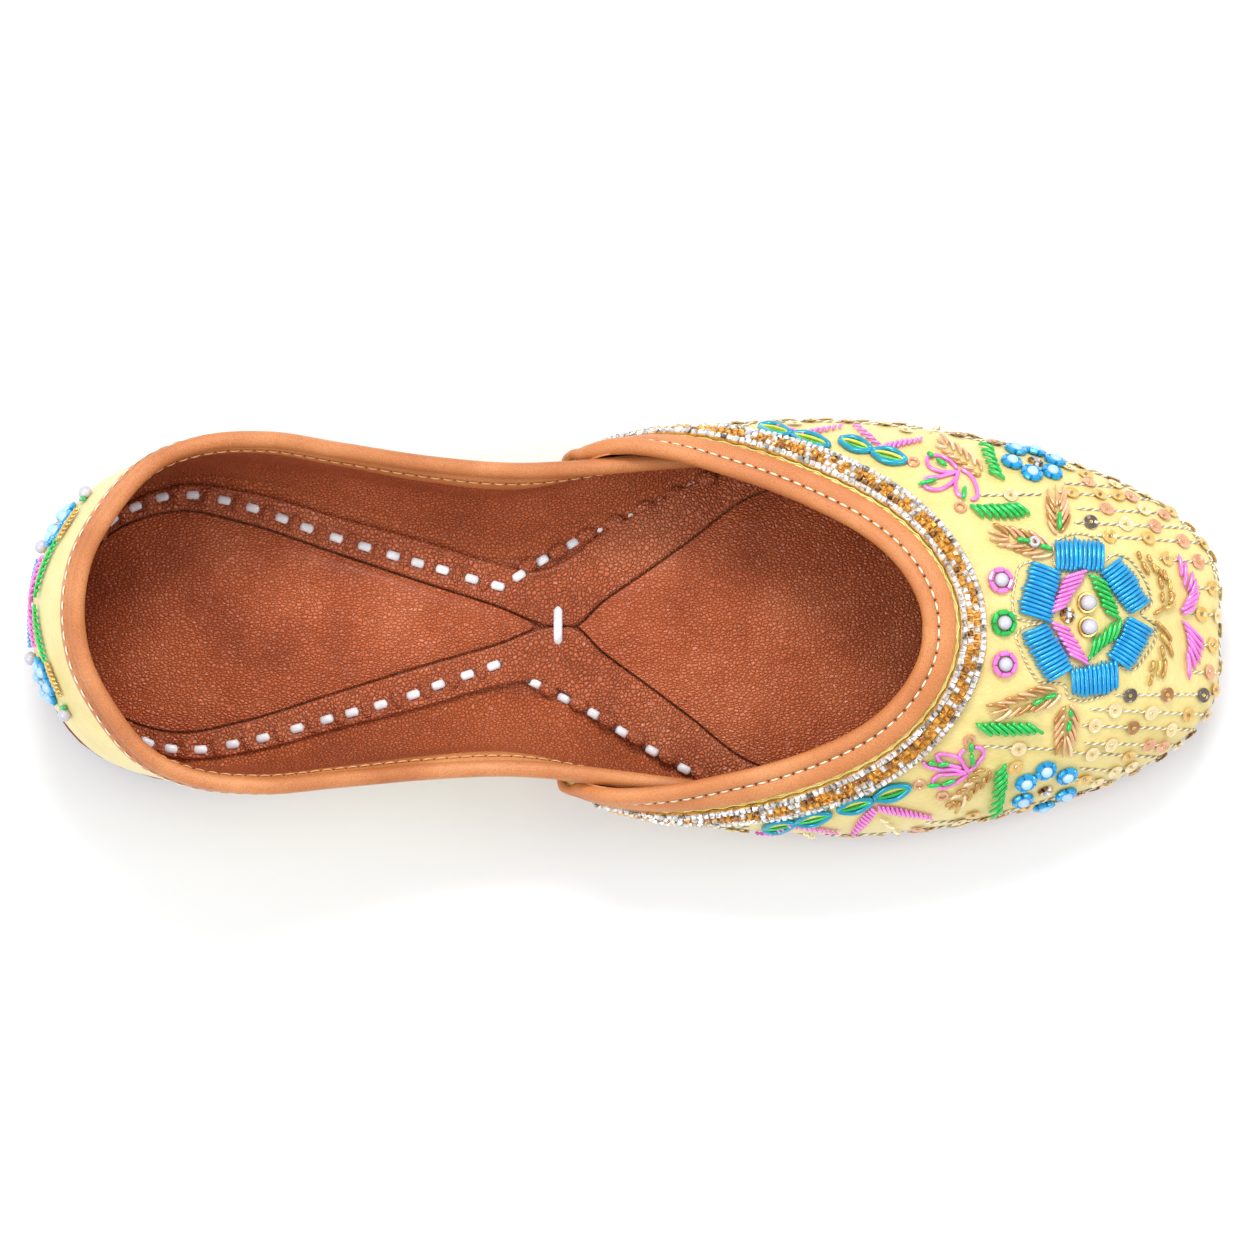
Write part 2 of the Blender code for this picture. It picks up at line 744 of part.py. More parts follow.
def ladder_solid(name, levels, cap_angle=0.6):
    """Solid of half outlines, one above the other, closed across at the bottom and the top."""
    verts = []
    count = len(levels[0])
    ring = 2 * count - 2
    for level in levels:
        left = [Vector(p) for p in level]
        right = [Vector((p.x, -p.y, p.z)) for p in reversed(left[1:-1])]
        verts.extend(left + right)
    faces = []
    for k in range(len(levels) - 1):
        for j in range(ring):
            n = (j + 1) % ring
            faces.append((k * ring + j, k * ring + n, (k + 1) * ring + n, (k + 1) * ring + j))
    for base in (0, (len(levels) - 1) * ring):
        faces.append((base, base + 1, base + ring - 1))
        for j in range(1, count - 2):
            faces.append((base + j, base + j + 1, base + ring - j - 1, base + ring - j))
        faces.append((base + count - 2, base + count - 1, base + count))
    return make_object(name, verts, faces, cap_angle)


def with_height(points, height):
    return [Vector((p.x, p.y, height(p.x))) for p in points]


def make_outsole():
    outline = outline_points(SOLE_OUTLINE, 2)
    inner = inset_outline(outline, SOLE_ROUNDING)
    levels = [
        with_height(inner, sole_bottom),
        with_height(outline, lambda x: sole_bottom(x) + SOLE_ROUNDING),
        with_height(outline, lambda x: sole_top(x) - SOLE_ROUNDING),
        with_height(inner, sole_top),
    ]
    return ladder_solid("outsole", levels)


def make_heel_lift():
    outline = [p for p in outline_points(SOLE_OUTLINE, 3) if p.x < -HALF_LENGTH + HEEL_LENGTH]
    edge = outline[-1]
    for i in range(1, HEEL_BREAST_STEPS + 1):
        share = i / HEEL_BREAST_STEPS
        x = edge.x + HEEL_BREAST_STEP - HEEL_BREAST_CURVE * math.sin(share * math.pi / 2)
        outline.append(Vector((x, edge.y * (1 - share), 0.0)))
    outer = inset_outline(outline, HEEL_INSET)
    inner = inset_outline(outline, HEEL_INSET + SOLE_ROUNDING)
    levels = [
        with_height(inner, lambda x: 0.0),
        with_height(outer, lambda x: SOLE_ROUNDING),
        with_height(outer, lambda x: HEEL_LIFT),
    ]
    return ladder_solid("heel_lift", levels)


def foot_outline(quarter, vamp):
    """Inside of the upper where it stands on the sole, as a left half outline."""
    inside = []
    half_start = len(QUARTER) - 1
    for u in spread(quarter.knots[half_start:], 2):
        inside.append(quarter.offset(u, 0.0, -WALL))
    front_of_quarter = inside[-1].x
    toe = len(VAMP) - 1
    front = []
    for u in spread(vamp.knots[:toe + 1], 2):
        front.append(vamp.offset(u, 0.0, -WALL))
    joined = inside + [p for p in front if p.x > front_of_quarter + FRONT_JOIN]
    plan = [Vector((p.x, abs(p.y), 0.0)) for p in joined]
    plan[0].y = 0.0
    plan[-1].y = 0.0
    return plan


def make_insole(quarter, vamp):
    outline = foot_outline(quarter, vamp)
    edge = inset_outline(outline, GAP * 3)
    levels = [
        with_height(edge, lambda x: sole_top(x) + GAP),
        with_height(edge, insole_top),
    ]
    return ladder_solid("insole", levels)


def strip_edges():
    """Inner and outer edge of the left half of the strip, from the back to its front end."""
    sides = []
    for column in (1, 3):
        edge = [Vector((from_heel(row[column]), row[column + 1] * HALF_BALL, 0.0)) for row in STRIP]
        knots = [0.0]
        for before, after in zip(edge, edge[1:]):
            knots.append(knots[-1] + (after - before).length)
        first = Vector((edge[1].x, -edge[1].y, 0.0))
        wide = [first] + edge
        wide_knots = [-knots[1]] + knots
        sides.append([hermite(wide_knots, wide, at) for at in spread(knots, STRIP_COLUMNS)])
    near, far = sides
    for point in near[1:]:
        point.y = max(point.y, GAP / 2)
    return near, far


def crossing_rows():
    names = [row[0] for row in STRIP]
    return names.index("crossing"), names.index("front of crossing")


def heel_pad_outline():
    near, _ = strip_edges()
    behind, _ = crossing_rows()
    inside = inset_outline(near[:behind * STRIP_COLUMNS + 1], PAD_CLEARANCE)
    kept = [inside[0]] + [p for p in inside[1:-1] if p.y > PAD_CLEARANCE]
    tip = Vector((kept[-1].x + kept[-1].y, 0.0, 0.0))
    return kept + [tip]


def forefoot_pad_outline():
    near, _ = strip_edges()
    _, ahead = crossing_rows()
    edge = near[ahead * STRIP_COLUMNS:]
    inside = inset_outline(edge, PAD_CLEARANCE)[:-1]
    kept = [p for p in inside[1:] if p.y > PAD_CLEARANCE]
    tip = Vector((kept[0].x - kept[0].y, 0.0, 0.0))
    front = outline_points(FOREFOOT_FRONT, STRIP_COLUMNS)
    return [tip] + kept + front


def make_pad(name, outline):
    """Cushion with a low edge and a gentle crown."""
    middle = Vector(((outline[0].x + outline[-1].x) / 2, 0.0, 0.0))
    levels = [with_height(outline, lambda x: insole_top(x) + GAP)]
    for scale, rise in ((1.0, 0.0), (0.93, 0.45), (0.72, 0.86), (0.40, 1.0)):
        level = []
        for p in outline:
            place = middle.lerp(p, scale)
            place.y = p.y * scale
            place.z = insole_top(place.x) + GAP + PAD_EDGE + PAD_CROWN * rise
            level.append(place)
        levels.append(level)
    return ladder_solid(name, levels)


def make_strip():
    """Leather strip round the heel, meeting itself at the waist and running out to both sides."""
    half = list(zip(*strip_edges()))
    columns = [(Vector((a.x, -a.y, 0.0)), Vector((b.x, -b.y, 0.0))) for a, b in reversed(half[1:])]
    columns.extend(half)
    verts = []
    for near, far in columns:
        low = []
        high = []
        for place in (near, far):
            base = insole_top(place.x) + GAP
            low.append(Vector((place.x, place.y, base)))
            high.append(Vector((place.x, place.y, base + STRIP_THICKNESS)))
        verts.extend(low + list(reversed(high)))
    rows = 4
    faces = grid_faces(len(columns), rows, closed_rows=True)
    for base in (0, (len(columns) - 1) * rows):
        faces.append((base, base + 1, base + 2, base + 3))
    return make_object("footbed_strip", verts, faces)


def leg_lengths(sheet, path, covered_from, covered_to):
    """Leg length at each place, short where another edge lies against it."""
    lengths = []
    for u, v in path:
        place = sheet.point(u, v)
        share = (place.x + HALF_LENGTH) / LENGTH
        inside = smooth_step((share - covered_from) / COVER_FADE)
        inside *= smooth_step((covered_to - share) / COVER_FADE)
        lengths.append(BINDING_LEG + (BINDING_SHORT_LEG - BINDING_LEG) * inside)
    return lengths


def main():
    for thing in list(bpy.data.objects):
        bpy.data.objects.remove(thing, do_unlink=True)
    quarter = Sheet(QUARTER, BACK_HEIGHT, "first", False, QUARTER_COLUMNS)
    quarter.set_facing()
    vamp = Sheet(VAMP, THROAT_HEIGHT, "last", True, VAMP_COLUMNS)
    vamp.set_facing()

    upper = sheet_solid("upper", quarter)
    vamp_sheet = sheet_solid("vamp_sheet", vamp)
    join = upper.modifiers.new("lapped", "BOOLEAN")
    join.operation = "UNION"
    join.solver = "EXACT"
    join.object = vamp_sheet
    vamp_sheet.hide_render = True
    vamp_sheet.display_type = "WIRE"

    collar_path = [(u, v) for u, v in edge_path(quarter)
                   if quarter.point(u, v).x < from_heel(COLLAR_FRONT)]
    full = [BINDING_LEG] * len(collar_path)
    covered = leg_lengths(quarter, collar_path, COLLAR_COVERED_FROM, math.inf)
    binding("collar_binding", quarter, collar_path, covered, full, ["free"] * len(full))

    throat_path = edge_path(vamp)
    full = [BINDING_LEG] * len(throat_path)
    covered = leg_lengths(vamp, throat_path, 0.0, WING_INNER_END)
    kinds = []
    for u, v in throat_path:
        kinds.append("free" if v == 1.0 else "tucked" if v > WING_TUCK else "seated")
    binding("vamp_binding", vamp, throat_path, full, covered, kinds)
    trim_path = [(u, v) for u, v in throat_path if v == 1.0]
    trim_band("throat_trim", vamp, trim_path)

    make_outsole()
    make_heel_lift()
    make_insole(quarter, vamp)
    make_pad("heel_pad", heel_pad_outline())
    make_pad("forefoot_pad", forefoot_pad_outline())
    make_strip()


main()
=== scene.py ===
import math
import random

import bmesh
import bpy
import numpy as np
from mathutils import Matrix
from mathutils import Vector
from mathutils.bvhtree import BVHTree


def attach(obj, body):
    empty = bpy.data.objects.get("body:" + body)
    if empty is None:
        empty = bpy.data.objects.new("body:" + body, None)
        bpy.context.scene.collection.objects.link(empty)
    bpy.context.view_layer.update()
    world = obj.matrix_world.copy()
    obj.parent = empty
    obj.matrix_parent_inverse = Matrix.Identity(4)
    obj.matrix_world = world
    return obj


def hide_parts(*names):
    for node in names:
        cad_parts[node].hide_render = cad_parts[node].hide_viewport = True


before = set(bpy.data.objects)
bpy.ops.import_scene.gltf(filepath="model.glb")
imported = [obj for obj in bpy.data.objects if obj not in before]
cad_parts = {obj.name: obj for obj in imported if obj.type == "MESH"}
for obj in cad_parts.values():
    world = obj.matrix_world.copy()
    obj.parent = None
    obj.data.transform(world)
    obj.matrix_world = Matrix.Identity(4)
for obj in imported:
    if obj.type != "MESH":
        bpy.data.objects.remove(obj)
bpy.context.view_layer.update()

# Sizes of the shoe, in metres
LENGTH = 0.250
BALL_WIDTH = 0.0872
BACK_HEIGHT = 0.0545
THROAT_HEIGHT = 0.0455
THROAT_SKEW = 0.0022
SKEW_START = 0.48
SKEW_RUN = 0.24
SOLE_THICKNESS = 0.0045
HEEL_LIFT = 0.0050
TOE_SPRING = 0.0035
WALL = 0.0020
EDGE_WALL = 0.0012
SKIVE = 0.0100
LAP_SINK = 0.0007
LAP_STEP = 0.0016
LAP_END = 0.56
LAP_FADE = 0.06
WING_REAR_ROUND = 0.0065
WING_CORNER = 0.30
WING_FOOT_SHARE = 0.075
WING_TUCK = 0.86
WING_INNER_END = 0.575
COLLAR_FRONT = 0.572
COLLAR_COVERED_FROM = 0.44
COVER_FADE = 0.03
BINDING_LEATHER = 0.0007
BINDING_LEG = 0.0056
BINDING_SHORT_LEG = 0.0016
ROLL_RADIUS = 0.0017
LEG_GAP = 0.00045
ROLL_SINK_SHARE = 0.35
SEATED_SINK_SHARE = 0.70
SEATED_STEP_SHARE = 0.10
TRIM_WIDTH = 0.0056
TRIM_PLATE = 0.0006
TRIM_SETBACK = 0.0011
TRIM_LIFT = 0.0005
TRIM_CORNER_SETBACK = 0.0016
TRIM_CORNER_ROOM = 1.12
INSOLE_THICKNESS = 0.0022
STRIP_THICKNESS = 0.0014
PAD_EDGE = 0.0010
PAD_CLEARANCE = 0.0005
PAD_CROWN = 0.0014
GAP = 0.0003
SMALL = 0.002
WALK_STEP = 0.0007

HALF_LENGTH = LENGTH / 2
HALF_BALL = BALL_WIDTH / 2

# How finely the pieces are drawn
COLUMNS = 10
SHEET_ROWS = 30
ROLL_STEPS = 14
REAR_STEPS = 26
BAND_REAR_STEPS = 8
STRIP_COLUMNS = 22
STRIP_ROWS = 25
PAD_COLUMNS = 8

# Angles between faces, in radians, above which an edge stays sharp
SHEET_SHARP = 0.9
FOLD_SHARP = 1.0
SOFT_SHARP = 1.1

# Numbers of the sockets of a mix node
MIX_VECTORS = (4, 5)
MIX_COLOURS = (6, 7)

OTHER_SIDE = np.array((1.0, -1.0))
UP = (0.0, 0.0, 1.0)

# Rows of the stone band: distance from its inner edge, width, pitch, tones, phase
STONE_ROWS = (
    (0.00068, 0.00128, 0.00132, ("clear", "clear", "clear", "silver"), 0.0),
    # The clear stones mixed into the two amber rows stand in for glints on the amber stones: painted
    # highlights.
    (0.00205, 0.00122, 0.00150, ("amber", "amber", "clear", "brown"), 0.0),
    (0.00345, 0.00122, 0.00150, ("amber", "amber", "clear", "amber"), 1.0),
    (0.00480, 0.00128, 0.00132, ("clear", "clear", "clear", "silver"), 0.6),
)
STONE_HEIGHT = 0.00082
STONE_SINK = 0.0001
STONE_TURN = 0.28
STONE_TILT = 0.16
STONE_REACH = 0.0003

# Cords beside the band: pitch, height and swing of the wavy one, radii and heights
CORD_STEP = 0.00035
CORD_END = 0.0012
CORD_PITCH = 0.0021
CORD_SWING = 0.00030
CORD_RADIUS = 0.00020
CORD_LIFT = 0.00055
CORD_BED_RADIUS = 0.00046
CORD_BED_LIFT = 0.00022
REAR_CORD = (0.00011, 0.0012)
REAR_CORD_GAP = 0.0003

# Stitches of thread: length, pitch, radius. Holes, dark marks of painted shade: pitch, offset, radius.
THROAT_STITCH = (0.0017, 0.0027, 0.00021)
THROAT_HOLE = (0.0027, 0.0022, 0.00046)
INNER_STITCH = (0.0020, 0.0027, 0.00024)
INNER_HOLE = (0.0027, 0.0024, 0.00026)
OUTER_STITCH = (0.0020, 0.0031, 0.00026)
THREAD_SINK = 0.0001
THREAD_LIFT = 0.00008
HOLE_LIFT = 0.00004
HOLE_REACH = 0.0002
THROAT_STITCH_END = 0.002
INNER_STITCH_END = 0.004
OUTER_STITCH_END = 0.003
INNER_STITCH_SHARE = 0.52
OUTER_STITCH_SHARE = 0.62
GROOVE_THICKNESS_SHARE = 0.45

# Lace: length, radius and flatness of a stitch. Leather between stitches: length, radius, lift.
LACE_STITCH = (0.0030, 0.00090, 0.55)
LACE_RISE = 0.00060
LACE_SINK = 0.00022
HOLE_SINK = 0.00012
CROSS_RADIUS = 0.00092
CROSS_RISE = 0.0004
FRONT_ROLL = (0.0040, 0.00155, 0.00080)
REAR_ROLL = (0.0038, 0.00112, -0.00016)

# The lining turned in over the insole
TURN_IN_TOP = 0.0016
TURN_IN_FOOT = 0.0012
TURN_IN_WIDTH = 0.0036
TURN_IN_UNDER_WIDTH = 0.0034
TURN_IN_THICKNESS = 0.00016
TURN_IN_SINK = 0.0006
TURN_IN_OVERLAP = 0.0002
TURN_IN_HOLLOW = 0.00035
TURN_IN_SWELL = 0.0001

# Strands of the embroidery. Each kind: radius, lift off the ground, height of its bow.
# A leaf: radius, lift and bow, half reach with its taper and widest place, range of chance.
STRAND_RADIUS = 0.00046
LONGEST_STRETCH = 1.3
VAMP_LEAF = (STRAND_RADIUS * 0.78, (0.0004, 0.0004), (0.5, 0.18, 0.8), (0.9, 1.08))
HEEL_LEAF = (STRAND_RADIUS * 0.9, (0.00042, 0.0005), (0.56, 0.20, 0.9), (0.92, 1.06))
BLOCK_LIFT = 0.00044
BLOCK_BOW = 0.00075
BLOCK_UNEVEN = 0.00012
CHEVRON_STRAND = (0.00046, 0.00050, 0.00035)
CHEVRON_STEP = 0.00018
FERN_STRAND = (0.00040, 0.00040, 0.0003)
FERN_STEP = 0.00020
STEM_STRAND = (0.00031, 0.0004, 0.0003)
BUGLE_STRAND = (0.00050, 0.00085, 0.0002)
LOOP_STRAND = (0.00045, 0.00040, 0.0001)
CHAIN_STRAND = (0.00062, 0.0005, 0.0002)
CHAIN_CORE_STRAND = (0.00036, 0.0005, 0.0001)
HOOK_STRAND = (0.0005, 0.0005, 0.0002)

# Pearls: radius, thickness and number of bugles of the ring, radius and lift of the pearl
ROSETTE_PEARL = (0.00244, 0.00060, 6, 0.00152, 0.0010)
CENTRE_PEARL = (0.00196, 0.00036, 0, 0.00172, 0.0013)
BLUE_PEARL = (0.00196, 0.00064, 6, 0.00136, 0.0009)
HEEL_BLUE_PEARL = (0.00172, 0.00056, 6, 0.00128, 0.0009)
HEEL_PEARL_RADIUS = 0.00150
HEEL_PEARL_LIFT = 0.0011
PEARL_SQUEEZE = 0.9
CRYSTAL_SIZE = 0.00165
HEEL_CRYSTAL_SIZE = 0.0014
SEQUIN_RADIUS = 0.00160
SEQUIN_LIFT = 0.00036

# Twisted threads: radius of one strand, pitch of the twist
OUTLINE_THREAD = (0.00016, 0.0013)
ROW_THREAD = (0.00018, 0.0020)

# Legs of a folded edge: share of the leg's width and share of the leather's thickness, with the
# groove that the stitches pull in.
LEG_PROFILE = ((0.16, 0.95), (0.26, 0.50), (0.34, 0.08), (0.42, 0.42), (0.52, 0.92), (0.72, 1.0),
               (0.92, 0.95), (1.0, 0.60))
LEG_STEPS = len(LEG_PROFILE)
GROOVE = 0.34

# The picture
PICTURE = 1254
LENS_PIXELS = 5135
SENSOR = 36.0
CAMERA_DISTANCE = 1.090
CAMERA_ELEVATION = 86.4
CAMERA_TURN = 0.56
AIM_HEIGHT = 0.010
PIXELS_PER_METRE = 4750
PAIR_OFFSET = 235.0

# Stations of the quarter and the vamp, as in the part.
# Columns: name, foot x, foot y, belly x, belly y, belly z, top x, top y, top z, fullness
QUARTER = (
    ("back", 0.012, 0.000, 0.001, 0.000, 0.420, 0.0500, 0.000, 1.000, 0.34),
    ("back corner", 0.017, 0.235, 0.007, 0.258, 0.420, 0.0565, 0.245, 0.994, 0.34),
    ("counter rear", 0.036, 0.459, 0.028, 0.491, 0.420, 0.0760, 0.463, 0.974, 0.34),
    ("counter side", 0.070, 0.638, 0.064, 0.681, 0.420, 0.1060, 0.676, 0.942, 0.34),
    ("heel side", 0.128, 0.729, 0.128, 0.787, 0.420, 0.1480, 0.800, 0.905, 0.32),
    ("ankle", 0.192, 0.693, 0.192, 0.798, 0.430, 0.2020, 0.833, 0.858, 0.30),
    ("rear waist", 0.260, 0.573, 0.260, 0.745, 0.410, 0.2640, 0.796, 0.748, 0.30),
    ("waist", 0.332, 0.463, 0.332, 0.677, 0.390, 0.3340, 0.752, 0.640, 0.30),
    ("narrowest", 0.400, 0.427, 0.400, 0.656, 0.380, 0.4000, 0.730, 0.584, 0.32),
    ("under wing", 0.462, 0.505, 0.462, 0.765, 0.375, 0.4620, 0.744, 0.558, 0.40),
    ("inner rear", 0.520, 0.676, 0.520, 0.871, 0.340, 0.5200, 0.770, 0.508, 0.55),
    ("inner mid", 0.568, 0.796, 0.568, 0.925, 0.300, 0.5680, 0.795, 0.458, 0.65),
    ("inner front", 0.612, 0.860, 0.612, 0.946, 0.270, 0.6120, 0.818, 0.410, 0.70),
)
VAMP = (
    ("wing rear", 0.448, 0.520, 0.451, 0.795, 0.480, 0.464, 0.836, 0.650, 0.42),
    ("wing", 0.486, 0.612, 0.486, 0.862, 0.450, 0.494, 0.852, 0.694, 0.50),
    ("wing front", 0.532, 0.748, 0.532, 0.929, 0.405, 0.534, 0.822, 0.726, 0.62),
    ("side", 0.580, 0.852, 0.580, 0.970, 0.360, 0.580, 0.752, 0.764, 0.74),
    ("side ball", 0.632, 0.922, 0.632, 0.993, 0.335, 0.624, 0.674, 0.808, 0.80),
    ("ball", 0.688, 0.954, 0.688, 0.999, 0.320, 0.664, 0.580, 0.856, 0.80),
    ("toes", 0.752, 0.927, 0.752, 0.969, 0.315, 0.694, 0.488, 0.900, 0.76),
    ("toe side", 0.816, 0.854, 0.816, 0.899, 0.315, 0.714, 0.400, 0.940, 0.68),
    ("toe shoulder", 0.876, 0.750, 0.878, 0.798, 0.315, 0.729, 0.304, 0.970, 0.58),
    ("toe corner", 0.928, 0.620, 0.931, 0.672, 0.320, 0.739, 0.212, 0.988, 0.50),
    ("toe round", 0.965, 0.482, 0.969, 0.532, 0.325, 0.745, 0.130, 0.996, 0.44),
    ("toe front", 0.986, 0.308, 0.9945, 0.350, 0.330, 0.7475, 0.064, 1.000, 0.41),
    ("toe", 0.992, 0.000, 1.000, 0.000, 0.330, 0.748, 0.000, 1.000, 0.40),
)

# Height of the underside: share of LENGTH, share of the heel's height, share of TOE_SPRING.
SOLE_RISE = (
    ("heel", 0.000, 1.00, 0.00),
    ("seat", 0.235, 1.00, 0.00),
    ("rear arch", 0.300, 0.93, 0.00),
    ("arch", 0.380, 0.66, 0.00),
    ("front arch", 0.460, 0.30, 0.00),
    ("tread rear", 0.530, 0.06, 0.00),
    ("tread", 0.570, 0.00, 0.00),
    ("tread front", 0.820, 0.00, 0.00),
    ("toes", 0.880, 0.00, 0.16),
    ("toe shoulder", 0.940, 0.00, 0.50),
    ("toe", 1.000, 0.00, 1.00),
)

# Front part of the forefoot pad, shares of LENGTH and of half BALL_WIDTH.
FOREFOOT_FRONT = (
    ("ball", 0.672, 0.800),
    ("toes", 0.740, 0.810),
    ("toe side", 0.816, 0.740),
    ("toe shoulder", 0.872, 0.625),
    ("toe corner", 0.920, 0.470),
    ("toe round", 0.948, 0.260),
    ("toe", 0.956, 0.000),
)

# The strip round the pads: inner edge x, y and outer edge x, y, from the back to its front end.
STRIP = (
    ("back", 0.0340, 0.000, 0.024, 0.000),
    ("back corner", 0.0375, 0.246, 0.029, 0.232),
    ("rear", 0.0600, 0.424, 0.047, 0.438),
    ("side", 0.0910, 0.513, 0.078, 0.578),
    ("widest", 0.1200, 0.544, 0.122, 0.664),
    ("seat", 0.1730, 0.492, 0.176, 0.634),
    ("rear arch", 0.2510, 0.350, 0.256, 0.512),
    ("arch", 0.3270, 0.209, 0.332, 0.396),
    ("waist", 0.3920, 0.094, 0.388, 0.300),
    ("crossing", 0.4350, 0.0052, 0.424, 0.268),
    ("front of crossing", 0.4540, 0.0052, 0.450, 0.330),
    ("joint rear", 0.4780, 0.124, 0.476, 0.450),
    ("joint", 0.5125, 0.266, 0.508, 0.560),
    ("tread rear", 0.5540, 0.440, 0.542, 0.672),
    ("front end", 0.6000, 0.640, 0.580, 0.764),
    ("run out", 0.6400, 0.728, 0.622, 0.848),
)

# Lace through the strip and the leather pushed up between its stitches, in picture pixels.
# The stitches behind the heel are in metres along the strip from its middle.
LACE_HEEL = (
    (107, 748), (133, 736), (162, 730), (193, 730), (223, 735), (252, 743), (280, 753), (308, 763),
    (336, 773), (364, 782), (392, 791), (418, 798), (444, 805), (471, 814), (498, 821),
    (144, 985), (171, 989), (202, 989), (234, 984), (266, 978), (297, 970), (327, 960), (354, 951),
    (383, 941), (412, 930), (439, 920), (467, 910), (495, 901),
)
LACE_BACK = (0.0032, 0.0096, 0.0160, 0.0224)
LACE_FRONT = (
    ((519, 811), (542, 795), (572, 778), (598, 762), (628, 746), (657, 731), (689, 718)),
    ((535, 918), (564, 933), (594, 949), (622, 967), (652, 986), (684, 1004), (715, 1018)),
)
ROLLS = (
    ((528, 801), (558, 786), (586, 769), (613, 754), (642, 739), (673, 725), (707, 714)),
    ((548, 924), (579, 939), (607, 955), (636, 973), (668, 992), (701, 1010)),
)
CROSS_STITCH = ((558, 840), (558, 881))

# Share of the strip's width where its outer edge is rolled
ROLLED_SHARE = 0.80

# Embroidery on the vamp, in picture pixels.
# Blocks of strands: name, colour, first strand from and to, last strand from and to, bow, radius share
BLOCKS = (
    ("petal top", "blue", (1056, 808), (1055, 774), (1100, 808), (1101, 776), 3.0, 1.0),
    ("petal rear far", "blue", (1061, 811), (1029, 798), (1052, 857), (1015, 845), 2.0, 1.0),
    ("petal front far", "blue", (1098, 811), (1122, 793), (1127, 849), (1149, 834), 2.0, 1.0),
    ("petal rear near", "blue", (1049, 858), (1019, 871), (1072, 900), (1044, 917), 2.0, 1.0),
    ("petal front near", "blue", (1125, 852), (1153, 868), (1106, 889), (1131, 906), 2.0, 1.0),
    ("petal bottom", "blue", (1070, 902), (1072, 932), (1113, 893), (1115, 928), 4.0, 1.0),
    ("pink far", "pink", (1047, 848), (1066, 840), (1062, 814), (1088, 806), 1.5, 0.86),
    ("pink near", "pink", (1048, 857), (1070, 866), (1066, 888), (1090, 901), 1.5, 0.86),
    ("green far", "green", (1087, 811), (1108, 821), (1102, 845), (1120, 855), 2.0, 0.90),
    ("green near", "green", (1087, 896), (1094, 871), (1112, 876), (1120, 851), 2.0, 0.90),
    ("leaf far", "green", (969, 741), (985, 756), (1013, 740), (1031, 753), 2.5, 1.0),
    ("leaf near", "green", (975, 957), (992, 970), (1024, 956), (1043, 968), 2.5, 1.0),
    ("leaf side far", "green", (978, 682), (993, 688), (988, 708), (1003, 716), -2.0, 0.95),
    ("leaf side near", "green", (994, 1008), (1006, 996), (988, 1050), (1004, 1037), 3.0, 0.95),
)

# Leaves of slanted strands: colour, along the leaf from and to, one strand across it
FEATHERS = (
    ("pink", (857, 664), (880, 684), (13, 2)),
    ("pink", (885, 683), (920, 677), (9, -11)),
    ("pink", (780, 664), (800, 670), (11, 2)),
    ("pink", (804, 670), (840, 664), (9, -8)),
    ("pink", (853, 1066), (874, 1043), (12, 8)),
    ("pink", (880, 1042), (930, 1050), (8, 13)),
    ("pink", (763, 1073), (783, 1061), (10, 6)),
    ("pink", (790, 1058), (836, 1065), (8, 10)),
    ("cream", (884, 1053), (903, 1070), (13, 4)),
    ("cream", (806, 1066), (818, 1073), (9, 3)),
    ("cream", (930, 668), (946, 662), (6, -10)),
)

# Single strands of the chevrons: colour, from, to
CHEVRONS = (
    ("bronze", (1136, 787), (1139, 796)),
    ("bronze", (1145, 791), (1149, 799)),
    ("bronze", (1140, 797), (1148, 811)),
    ("bronze", (1150, 799), (1155, 809)),
    ("bronze", (1154, 802), (1162, 813)),
    ("bronze", (1161, 805), (1164, 817)),
    ("bronze", (1157, 812), (1161, 825)),
    ("bronze", (1166, 814), (1168, 827)),
    ("bronze", (1168, 826), (1171, 836)),
    ("bronze", (1172, 828), (1166, 840)),
    ("bronze", (1160, 827), (1161, 838)),
    ("bronze", (1173, 838), (1162, 845)),
    ("bronze", (1165, 841), (1152, 850)),
    ("bronze", (1153, 856), (1163, 866)),
    ("bronze", (1160, 861), (1170, 877)),
    ("bronze", (1158, 869), (1166, 880)),
    ("bronze", (1165, 876), (1171, 893)),
    ("bronze", (1159, 880), (1161, 893)),
    ("bronze", (1152, 895), (1149, 907)),
    ("bronze", (1158, 893), (1155, 912)),
    ("bronze", (1164, 893), (1161, 914)),
    ("bronze", (1150, 909), (1147, 921)),
    ("pink", (1177, 790), (1180, 813)),
    ("pink", (1183, 797), (1182, 823)),
    ("pink", (1191, 807), (1186, 827)),
    ("pink", (1194, 814), (1187, 833)),
    ("pink", (1197, 821), (1184, 837)),
    ("pink", (1198, 828), (1181, 841)),
    ("pink", (1197, 834), (1178, 846)),
    ("pink", (1194, 841), (1180, 850)),
    ("pink", (1180, 855), (1203, 879)),
    ("pink", (1182, 861), (1202, 886)),
    ("pink", (1184, 867), (1200, 892)),
    ("pink", (1185, 873), (1198, 899)),
    ("pink", (1186, 880), (1194, 905)),
    ("pink", (1185, 886), (1187, 915)),
)

# Leaves of loose strands: colour, stem end, tip, length of a strand, pairs, half angle in degrees
FERNS = (
    ("tan", (1053, 788), (987, 767), 23.0, 6, 27),
    ("tan", (1058, 771), (1055, 721), 22.0, 5, 30),
    ("tan", (1060, 926), (988, 949), 23.0, 6, 27),
    ("tan", (1067, 938), (1062, 992), 22.0, 5, 30),
    ("tan", (982, 710), (936, 676), 14.0, 6, 24),
    ("bronze", (988, 1003), (948, 1043), 13.0, 6, 26),
)

